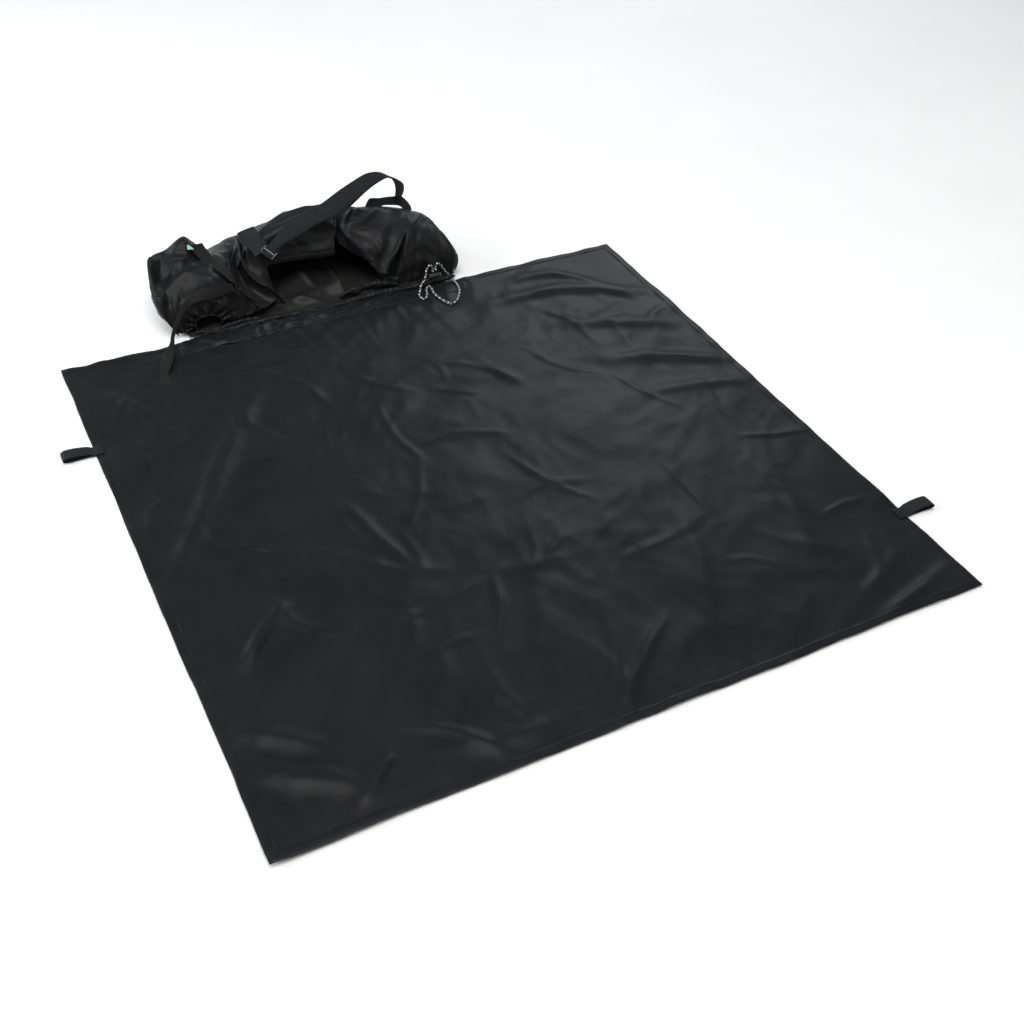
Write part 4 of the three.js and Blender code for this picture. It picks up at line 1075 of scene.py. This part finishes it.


# a near-black matte patch just behind the hole: painted shade, so the hole reads black
bu = np.linspace(-1, 1, 24)
BU, BW = np.meshgrid(bu, bu, indexing="ij")
ym = float(np.mean(ring_pts[:, 1]))
hole_shade_grid = np.stack([hole_c[0] + BU * 0.033, ym + 0.007 + 0.010 * np.exp(-(BU ** 2 + BW ** 2) * 1.2) - 0.004 * (BU ** 2), np.maximum(hole_c[2] + 0.001 + BW * 0.019, 0.0044)], 2)
dark = make_mesh("left_foot_hole_painted_shade_cloth", hole_shade_grid.reshape(-1, 3), grid_faces(24, 24), M_HOLE_PAINTED_SHADE, uv=grid_uv(hole_shade_grid), body="bag", slot="lining")
thicken(dark, 0.0005)


# hems: a rolled, stitched edge along each part of the mouth
def hem_strip(name, line, normal, inward, width=0.012, r=0.0017, gather=0.0, replaces=(), material=None, body="bag", slot="bag_nylon", stitch=True):
    """A folded hem lying over a cloth edge: a flattened tube from the edge inwards."""
    p = even(line, step=0.0022)
    L = np.linspace(0, 1, len(line))
    u = np.linspace(0, 1, len(p))
    nn = unit(np.stack([np.interp(u, L, normal[:, k]) for k in range(3)], 1))
    ii = unit(np.stack([np.interp(u, L, inward[:, k]) for k in range(3)], 1))
    a = np.linspace(0, 2 * math.pi, 18, endpoint=False)
    w = width / 2
    s = np.concatenate([[0], np.cumsum(np.linalg.norm(np.diff(p, axis=0), axis=1))])
    g = 1 + gather * np.sin(2 * math.pi * s / 0.011 + 2.5 * fbm(p * 30, 2))
    ca, sa = np.cos(a), np.sin(a)
    dent = 1 - 0.45 * np.exp(-(((ca - 0.45) / 0.16) ** 2))
    prof_i = w * (1 - np.sign(ca) * np.abs(ca) ** 0.7)
    ring = p[:, None, :] + ii[:, None, :] * prof_i[None, :, None] + nn[:, None, :] * (sa * r * dent)[None, :, None] * g[:, None, None]
    ring = ring + nn[:, None, :] * (fbm(p * 30, 2) * 0.0006 * (1 + gather))[:, None, None]
    k = len(a)
    verts = ring.reshape(-1, 3)
    faces = grid_faces(len(p), k, wrap_v=True)
    faces += [tuple(range(k))[::-1], tuple((len(p) - 1) * k + np.arange(k))]
    uv = np.stack([np.repeat(s, k), np.tile(a / (2 * math.pi) * width * 2, len(p))], 1)
    ob = make_mesh(name, verts, faces, material or M_BAG, uv=uv, body=body, slot=slot)
    if replaces:
        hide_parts(*replaces)
    if stitch:
        line2 = p + ii * (width * 0.80) + nn * (r * 0.75)
        stitches(name + "_stitches", line2, nn, M_THREAD, body=body, pitch=0.0038, length=0.0026, r=0.0003, slot="bag_nylon")
    return ob


def column_hem(name, col, r0, r1, side, width, **kw):
    j = np.arange(int(r0 * UP), int(r1 * UP) + 1)
    i = int(col * UP)
    line = fine[i, j]
    n = grid_normals(fine)[i, j]
    inward = fine[i - side * 3 * UP, j] - line
    inward = unit(inward - n * np.sum(inward * n, axis=1, keepdims=True))
    return hem_strip(name, line + n * 0.0009, n, inward, width, **kw)


def row_hem(name, c0, c1, side, width, **kw):
    i = np.arange(int(c0 * UP), int(c1 * UP) + 1)
    line = fine[i, 0]
    n = grid_normals(fine)[i, 0]
    inward = unit(fine[i, min(3, fine.shape[1] - 1)] - line)
    return hem_strip(name, line + n * 0.0009, n, inward, width, **kw)


column_hem("left_rim_hem", c_lh[1], 0, ridge + NV * 0.3, 1, 0.011, gather=0.04, replaces=["hem_channel_left_rim"])
column_hem("right_rim_hem", c_rh[0], 0, ridge + NV * 0.2, -1, 0.012, replaces=["hem_channel_right_rim"])
row_hem("back_lip_hem", c_bk[0], c_bk[1], 1, 0.012, gather=0.03, replaces=["hem_channel_back"])
column_hem("inner_rim_hem", c_bk[0], 0, ridge + NV * 0.2, -1, 0.010, gather=0.04)

lm = np.array(MOUTH_HEM, float) / 1000.0
lm = even(cr(lm, 10), step=0.0020)
lm_r = 0.0026 + 0.0005 * fbm(lm * 60, 2)
ang = np.linspace(0, 2 * math.pi, 14, endpoint=False)
tube("mouth_left_hem", lm, lm_r[:, None] * (1 + 0.35 * np.cos(ang * 2)[None, :]), sides=14, material=M_BAG, body="bag", slot="bag_nylon")
edge_i = int(c_bk[0] * UP)
back_edge = even(fine[edge_i, int(0.0 * UP) : int((ridge - 2) * UP) + 1][::-1], n=60)
front_edge = even(lm[: int(len(lm) * 0.80)], n=60)
tt_ = np.linspace(0, 1, 16)
web_g = front_edge[:, None, :] * (1 - tt_)[None, :, None] + back_edge[:, None, :] * tt_[None, :, None]
sagw = np.sin(tt_ * math.pi)[None, :] * np.linspace(0.2, 1, 60)[:, None] * 0.012
web_g = web_g + np.stack([sagw * 0.3, sagw * 0.9, -sagw * 0.9], 2) + 0.0012 * fbm(web_g.reshape(-1, 3) * 30, 2).reshape(60, 16, 1)
web_ob = make_mesh("mouth_left_cloth", web_g.reshape(-1, 3), grid_faces(60, 16), M_LINING, uv=grid_uv(web_g), body="bag", slot="lining")
thicken(web_ob, 0.0006)

rim_edge = even(fine[int(c_lh[1] * UP), : int((ridge - 1) * UP) + 1][::-1], n=60)
hem_edge = even(lm[: int(len(lm) * 0.86)], n=60)
sv = np.linspace(0, 1, 20)
val_g = rim_edge[:, None, :] * (1 - sv)[None, :, None] + hem_edge[:, None, :] * sv[None, :, None]
dip = np.sin(sv * math.pi)[None, :] * np.sin(np.linspace(0.10, 0.95, 60) * math.pi)[:, None]
val_g = val_g + np.stack([dip * 0.004, dip * 0.026, -dip * 0.026], 2)
vf_ = val_g.reshape(-1, 3)
val_g = val_g + np.stack([0 * dip, 0 * dip, (0.0022 * np.sin(np.linspace(0, 1, 60)[:, None] * 17 + 3 * sv[None, :]) + 0.0014 * fbm(vf_ * 26, 2).reshape(60, 20)) * dip], 2)
val_g[:, :, 2] = np.maximum(val_g[:, :, 2], 0.006)
val_ob = make_mesh("mouth_left_fold", val_g.reshape(-1, 3), grid_faces(60, 20), M_LINING, uv=grid_uv(val_g), body="bag", slot="lining")
thicken(val_ob, 0.0006)

# ------------------------------------------------------------------ lining: the floor of the sack, seen through the mouth
nx, ny = ((200, 100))
gx = np.linspace(-0.348, 0.228, nx)
gy = np.linspace(0.602, 0.893, ny)
LX, LY = np.meshgrid(gx, gy, indexing="ij")
lp = np.stack([LX, LY, 0 * LX], 2).reshape(-1, 3)
lz = 0.0030 + 0.0030 * np.maximum(0, fbm(lp * 9 + 3, 3).reshape(LX.shape) + 0.4)
lz = lz + 0.0022 * np.maximum(0, ridged(lp * 14 + 1, 2).reshape(LX.shape))
for pts, a, w in (
    ([(-0.165, 0.640), (-0.125, 0.690), (-0.060, 0.735), (-0.010, 0.760)], 0.016, 0.022),
    ([(-0.150, 0.625), (-0.095, 0.650), (-0.030, 0.665), (0.020, 0.655)], 0.010, 0.015),
    ([(-0.020, 0.640), (-0.012, 0.690), (-0.006, 0.750)], 0.012, 0.014),
    ([(0.000, 0.625), (0.040, 0.640), (0.075, 0.632)], 0.016, 0.013),
    ([(-0.185, 0.650), (-0.165, 0.700), (-0.150, 0.760)], 0.014, 0.014),
):
    lz = lz + ridge_line(LX, LY, pts, a, w)
for pts, a, w in (
    ([(-0.130, 0.655), (-0.100, 0.640), (-0.060, 0.628)], 0.007, 0.006),
    ([(-0.100, 0.760), (-0.070, 0.720), (-0.055, 0.680)], 0.006, 0.007),
    ([(-0.040, 0.740), (-0.015, 0.700), (-0.012, 0.650)], 0.006, 0.006),
    ([(-0.150, 0.730), (-0.110, 0.735), (-0.080, 0.725)], 0.005, 0.006),
):
    lz = lz + ridge_line(LX, LY, pts, a, w)
front = np.exp(-((LY - 0.602) / 0.010) ** 2)
lz = lz + 0.004 * front
lz = np.where((LX > -0.010) & (LX < 0.004), lz * smooth((0.004 - LX) / 0.014) + 0.003 * (1 - smooth((0.004 - LX) / 0.014)), lz)
LY = np.minimum(LY, 0.893 - 0.050 * (np.abs(LX + 0.060) / 0.288) ** 7)
lining = make_mesh("sack_lining", np.stack([LX, LY, lz], 2).reshape(-1, 3), grid_faces(nx, ny), M_LINING, uv=np.stack([LX, LY], 2).reshape(-1, 2), body="bag", slot="lining")
thicken(lining, 0.0006)
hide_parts("bag_floor_panel")

# ------------------------------------------------------------------ front hem: the gathered drawcord channel, and the seam band in front of it
n = 420
tx = np.linspace(0, 1, n)
hx = -0.322 + tx * (0.225 + 0.322)
hy = 0.6005 + 0.0025 * np.sin(hx * 21) + 0.0035 * smooth((-0.28 - hx) / 0.04) + 0.0050 * smooth((hx - 0.150) / 0.03)
hz = 0.0092 + 0.0014 * np.sin(hx * 33 + 1)
base = np.stack([hx, hy, hz], 1)
sides = 22
aa = np.linspace(0, 2 * math.pi, sides, endpoint=False)
gath = fbm(np.stack([hx * 60, 0 * hx, 0 * hx + 1], 1), 2)
puff = 0.0058 + 0.0012 * gath + 0.0024 * np.exp(-(((hx - 0.045) / 0.06) ** 2)) - 0.0012 * smooth((-0.22 - hx) / 0.05)
rad = puff[:, None] * (1 + 0.06 * np.sin(2 * math.pi * hx / 0.0190 + 6.0 * gath)[:, None] * (0.7 + 0.5 * np.sin(aa)[None, :]))
PA, SA = np.meshgrid(hx, aa, indexing="ij")
rad = rad + 0.0013 * fbm(np.stack([PA * 34, np.cos(SA) * 1.5, np.sin(SA) * 1.5], 2).reshape(-1, 3), 3).reshape(PA.shape)
rad = rad * (0.35 + 0.65 * smooth((0.223 - hx) / 0.016))[:, None]
front_hem = tube("front_hem_gathers", base, rad, sides=sides, material=M_BAG, body="bag", slot="bag_nylon")
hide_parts("hem_channel_front", "drawcord_run")

# the two short channels under the hoods' front edges
for nm, node, x0, x1, z0, z1 in (("left_foot_hem", "hem_channel_left_foot", -0.335, -0.203, 0.0085, 0.0110), ("right_foot_hem", "hem_channel_right_foot", 0.098, 0.221, 0.0078, 0.0078)):
    m_ = 160
    fx = np.linspace(x0, x1, m_)
    fy = 0.6135 + 0.0020 * np.sin(fx * 47)
    fz = np.linspace(z0, z1, m_) + 0.0012 * np.sin(fx * 71)
    fp = np.stack([fx, fy, fz], 1)
    ff = fbm(np.stack([fx * 55, 0 * fx, 0 * fx + 4], 1), 2)
    rr = (0.0048 + 0.0014 * ff)[:, None] * (1 + 0.13 * np.sin(2 * math.pi * fx / 0.0140 + 5.0 * ff)[:, None] * (0.7 + 0.5 * np.cos(aa)[None, :]))
    rr = rr * (0.30 + 0.70 * smooth((0.219 - fx) / 0.018))[:, None]
    foot = tube(nm, fp, rr, sides=sides, material=M_BAG, body="bag", slot="bag_nylon")
    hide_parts(node)

# scrunched cloth just inside the mouth, at its right end
m_ = 150
pth = even(cr(np.array([[-0.028, 0.622, 0.010], [0.000, 0.624, 0.016], [0.028, 0.628, 0.019], [0.052, 0.627, 0.021], [0.078, 0.620, 0.020], [0.100, 0.616, 0.012]]), 10), n=m_)
ff = fbm(pth * 45, 3)
end = np.sin(np.linspace(0.06, 1, m_) * math.pi * 0.97) ** 0.5
rr = (0.0085 + 0.0022 * ff)[:, None] * end[:, None] * (1 + 0.16 * np.sin(2 * math.pi * np.linspace(0, 1, m_) * 7 + 6.0 * ff)[:, None] * (0.6 + 0.6 * np.sin(aa)[None, :]))
PP = pth[:, None, :] + 0.02 * np.stack([0 * aa, np.cos(aa), np.sin(aa)], 1)[None]
rr = rr + 0.0042 * fbm(PP.reshape(-1, 3) * 26, 2).reshape(m_, sides) * end[:, None]
tube("mouth_scrunch", pth, np.maximum(rr, 0.0008), sides=sides, material=M_BAG, body="bag", slot="bag_nylon")

# seam band: the doubled cloth where the sack is sewn to the sheet
bx = np.linspace(-0.378, 0.240, 330)
by = np.linspace(0, 1, 22)
BX, BV = np.meshgrid(bx, by, indexing="ij")
pb = np.stack([BX, BV * 0.05, 0 * BX], 2).reshape(-1, 3)
wob = fbm(np.stack([bx * 9, bx * 0 + 2, bx * 0], 1), 2)
BY = 0.556 + 0.007 * wob[:, None] + BV * (0.040 - 0.007 * wob[:, None])
under = on_sheet(BX.reshape(-1), BY.reshape(-1)).reshape(BX.shape + (3,))
phb = 2 * math.pi * BX / 0.058 + 5.5 * fbm(np.stack([BX * 9, BV * 1.6, 0 * BX], 2).reshape(-1, 3), 2).reshape(BX.shape)
swell = np.sin(np.clip(BV, 0, 1) * math.pi * 0.5) * 0.0036
BZ = under[:, :, 2] + 0.0009 + swell + 0.0013 * (np.sin(phb) + 0.6) * smooth(BV * 2.2) * (0.5 + fbm(np.stack([BX * 7, 0 * BX, 0 * BX], 2).reshape(-1, 3), 1).reshape(BX.shape)) + 0.0004 * fbm(pb * 26, 2).reshape(BX.shape) * smooth(BV * 4)
BZ = np.maximum(BZ, under[:, :, 2] + 0.0009)
BZ = BZ + 0.0030 * ridge_line(BX, BY, [(-0.342, 0.590), (-0.302, 0.567), (-0.259, 0.555)], 1.0, 0.007) + 0.0045 * ridge_line(BX, BY, [(-0.240, 0.560), (-0.210, 0.580), (-0.170, 0.583), (-0.140, 0.562)], 1.0, 0.008)
fade_e = np.minimum(smooth((BX + 0.378) / 0.02), smooth((0.240 - BX) / 0.02))
BZ = under[:, :, 2] + 0.0009 + (BZ - under[:, :, 2] - 0.0009) * fade_e
BZ = BZ - 0.0008 * np.exp(-((BV / 0.05) ** 2)) - 0.0008 * (1 - fade_e)
BZ = BZ + 0.0026 * ridge_line(BX, BY, [(-0.120, 0.594), (-0.085, 0.575), (-0.050, 0.560)], 1.0, 0.007) + 0.0024 * ridge_line(BX, BY, [(-0.030, 0.562), (0.020, 0.580), (0.075, 0.590)], 1.0, 0.008) + 0.0020 * ridge_line(BX, BY, [(-0.190, 0.562), (-0.160, 0.570), (-0.100, 0.566)], 1.0, 0.006)
BZ = np.minimum(BZ, 0.0031 + 0.14 * cord_gap(BX.reshape(-1), BY.reshape(-1)).reshape(BX.shape))
band = make_mesh("mouth_seam_cloth", np.stack([under[:, :, 0], under[:, :, 1], BZ], 2).reshape(-1, 3), grid_faces(len(bx), 22), M_SHEET, uv=np.stack([BX, BY], 2).reshape(-1, 2), body="bag", slot="sheet_nylon")
thicken(band, 0.0008)
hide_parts("mouth_seam_band")
for j, vv in enumerate((18,)):
    ln = np.stack([under[:, vv, 0], under[:, vv, 1], BZ[:, vv]], 1)[4:-4]
    stitches("seam_band_stitches_%d" % j, ln, (0, -0.1, 1), M_THREAD, body="bag", pitch=0.0040, length=0.0027, r=0.00032, slot="sheet_nylon")

# ------------------------------------------------------------------ webbing
strap, S = webbing("carry_strap_webbing", STRAP, M_WEB, "carry_strap_body", across=15, step=0.0025, wobble=0.0006, cup=0.0009, replaces=["carry_strap"])
strap_end, SE = webbing("strap_end_loop", [STRAP[-1]] + STRAP_END, M_WEB, "carry_strap_body", across=13, step=0.002, cup=0.0012, wobble=0.0005, replaces=["strap_end_webbing"])
WIDE_ANCHOR = [[[a[k] - (b[k] - a[k]) * 0.55 for k in range(3)], b] for a, b in RIGHT_ANCHOR]
anchor_r, AR = webbing("right_anchor_webbing", [[[a[0] - 5, a[1] + 1, a[2] - 13] for a in WIDE_ANCHOR[0]]] + WIDE_ANCHOR + [[[a[0] + 3, a[1] - 1, a[2] - 12] for a in WIDE_ANCHOR[-1]]], M_WEB, "bag", across=13, step=0.002, wobble=0.0008, cup=0.0006, replaces=["anchor_webbing_right"])
root_pairs = [[[157.2, 759.2, 137.2], [176.4, 764.2, 131.8]], [[157.6, 763.4, 130.5], [176.0, 765.4, 126.0]], [[158.0, 764.7, 124.5], [175.6, 762.5, 120.0]], [[158.3, 761.7, 118.5], [175.4, 759.7, 114.5]]]
strap_root, SR = webbing("strap_root_webbing", root_pairs, M_WEB, "bag", across=13, step=0.0015, n=8)
anchor_l, AL = webbing("left_anchor_webbing_band", LEFT_ANCHOR, M_WEB, "bag", across=15, step=0.0025, wobble=0.0008, cup=0.0010, replaces=["anchor_webbing_left"])
tail_u, TU = webbing("tail_webbing_top", TAIL_UPPER, M_TAIL, "bag", across=13, step=0.0025, wobble=0.0010, replaces=["tail_webbing_upper"])
tail_l, TL = webbing("tail_webbing_end", TAIL_LOWER, M_TAIL, "tail_strap", across=13, step=0.0025, wobble=0.0006, replaces=["tail_webbing_lower"])


def edge_stitch(info, name, body, v=0.09, both=True, lift=0.0009, rng=(0.03, 0.97), pitch=0.0042, slot="webbing"):
    k = len(info["c"])
    a, b = int(rng[0] * k), max(int(rng[1] * k), int(rng[0] * k) + 3)
    for j, f in enumerate((v, 1 - v) if both else (v,)):
        for sgn in (1,):
            ln = info["a"][a:b] * (1 - f) + info["b"][a:b] * f + info["n"][a:b] * lift * sgn
            stitches("%s_%d" % (name, j), ln, info["n"][a:b] * sgn, M_THREAD, body=body, pitch=pitch, length=pitch * 0.66, r=0.00032, slot=slot)


edge_stitch(S, "strap_edge_stitches", "carry_strap_body", v=0.10, rng=(0.02, 0.98))
edge_stitch(AL, "left_anchor_stitches", "bag", v=0.10, rng=(0.03, 0.97))

# ------------------------------------------------------------------ slider
c0 = (np.array([-145.5, 669.4, 110.4]) + np.array([-157.2, 684.6, 119.2])) / 2000.0
e1 = unit(np.array([0.8278, 0.4230, 0.3686]))
e2 = np.array([-157.2, 684.6, 119.2]) / 1000 - np.array([-145.5, 669.4, 110.4]) / 1000
e2 = unit(e2 - e1 * np.dot(e2, e1))
e3 = unit(np.cross(e1, e2))


def bar(p, q, r, flat=1.0, seg=10):
    p, q = np.array(p, float), np.array(q, float)
    path = np.linspace(0, 1, 14)[:, None] * (q - p)[None] + p
    t = unit(q - p)
    side = unit(np.cross(t, [0, 0, 1]))
    upv = np.cross(side, t)
    a = np.linspace(0, 2 * math.pi, 16, endpoint=False)
    x = np.sign(np.cos(a)) * np.abs(np.cos(a)) ** 0.55 * r
    y = np.sign(np.sin(a)) * np.abs(np.sin(a)) ** 0.55 * r * flat
    ring = path[:, None, :] + side[None, None] * x[None, :, None] + upv[None, None] * y[None, :, None]
    shrink = np.ones(14)
    shrink[0] = shrink[-1] = 0.72
    ring = path[:, None, :] + (ring - path[:, None, :]) * shrink[:, None, None]
    f = grid_faces(14, 16, wrap_v=True)
    f += [tuple(range(16))[::-1], tuple(13 * 16 + np.arange(16))]
    return ring.reshape(-1, 3), f


vs, fs = [], []
SW = 0.0124
for p, q, r, fl in (
    ((-0.0070, -SW - 0.0013, -0.00265), (-0.0070, SW + 0.0013, -0.00265), 0.0015, 0.78),
    ((0.0070, -SW - 0.0013, -0.00265), (0.0070, SW + 0.0013, -0.00265), 0.0015, 0.78),
    ((0, -SW - 0.0010, 0.00245), (0, SW + 0.0010, 0.00245), 0.0016, 0.62),
    ((-0.0084, -SW - 0.0013, -0.0002), (0.0084, -SW - 0.0013, -0.0002), 0.0013, 2.6),
    ((-0.0084, SW + 0.0013, -0.0002), (0.0084, SW + 0.0013, -0.0002), 0.0013, 2.6),
):
    v, f = bar(p, q, r, fl)
    k = sum(len(x) for x in vs)
    vs.append(v)
    fs += [tuple(i + k for i in g) for g in f]
lv = np.concatenate(vs)
slider = make_mesh("strap_slider_body", c0 + lv[:, :1] * e1 + lv[:, 1:2] * e2 + lv[:, 2:3] * e3, fs, M_BUCKLE, body="slider", slot="plastic")
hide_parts("strap_slider")

# ------------------------------------------------------------------ label
lab = [[[-0.3015, 0.7300, 0.1268], [-0.2990, 0.7395, 0.1322]], [[-0.2955, 0.7295, 0.1264], [-0.2940, 0.7380, 0.1306]], [[-0.2895, 0.7290, 0.1248], [-0.2890, 0.7320, 0.1260]]]
lo_, hi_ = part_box("label_tab")
label, _l = webbing("side_label", lab, M_LABEL, "bag", slot="label", thick=0.0008, across=9, n=8, step=0.0008, replaces=["label_tab"])

# ------------------------------------------------------------------ drawcord loop
pts = np.array(CORD_LOOP[0]) / 1000.0
mid_ = even(cr(pts[1:-1], 12), step=0.0012)
path = np.concatenate([pts[:1], np.linspace(pts[0], pts[1], 4)[1:-1], mid_, np.linspace(pts[-2], pts[-1], 4)[1:]])
cord = tube("drawcord_free_loop", path, 0.0020, sides=14, material=M_CORD, body="bag", slot="drawcord")
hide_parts("drawcord_loop")

# cord lock: the moulded pieces keep their CAD shape
for node, mat in (("cord_lock_barrel", M_PLASTIC), ("cord_lock_button", M_BUCKLE), ("cord_lock_spring", M_STEEL)):
    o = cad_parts[node]
    o.data.materials.clear()
    o.data.materials.append(mat)

# ------------------------------------------------------------------ floor, light
me = bpy.data.meshes.new("floor")
me.from_pydata([(-14, -14, -0.0004), (14, -14, -0.0004), (14, 14, -0.0004), (-14, 14, -0.0004)], [], [(0, 1, 2, 3)])
floor = bpy.data.objects.new("floor", me)
bpy.context.scene.collection.objects.link(floor)
mf = Mat("floor_pale")
mf.link(mf.ramp(mf.noise(mf.coord("Object"), 3.0, 4), [(0.2, (0.875, 0.875, 0.87)), (0.8, (0.915, 0.915, 0.91))]), mf.b.inputs["Base Color"])
mf.set(Roughness=0.9, Specular_IOR_Level=0.1)
me.materials.append(mf.m)


def area(name, loc, target, size, power, color=(1, 1, 1)):
    d = bpy.data.lights.new(name, "AREA")
    d.shape = "RECTANGLE"
    d.size, d.size_y = size
    d.energy = power
    d.color = color
    o = bpy.data.objects.new(name, d)
    bpy.context.scene.collection.objects.link(o)
    o.location = loc
    o.rotation_mode = "QUATERNION"
    o.rotation_quaternion = (Vector(target) - Vector(loc)).to_track_quat("-Z", "Y")
    return o


area("key_back", (2.3, 3.0, 2.0), (0.1, 0.2, 0.0), (1.4, 1.0), 19, (0.90, 0.95, 1.0))
area("key_back_left", (-2.0, 2.8, 1.45), (-0.3, 0.1, 0.0), (0.9, 0.7), 20, (0.90, 0.95, 1.0))
area("key_top", (-0.5, -0.6, 4.4), (0.0, 0.1, 0.0), (3.4, 3.4), 165)
area("fill_left", (-2.8, 1.0, 1.4), (-0.2, 0.4, 0.05), (1.0, 1.0), 46, (0.90, 0.95, 1.0))
area("fill_front", (0.4, -3.2, 2.4), (0.0, 0.2, 0.05), (2.0, 1.6), 18)
world = bpy.data.worlds.new("studio")
world.use_nodes = True
world.node_tree.nodes["Background"].inputs["Color"].default_value = (1, 1, 1, 1)
world.node_tree.nodes["Background"].inputs["Strength"].default_value = 0.30
bpy.context.scene.world = world
bpy.context.scene.view_settings.view_transform = "Standard"

bpy.context.view_layer.update()
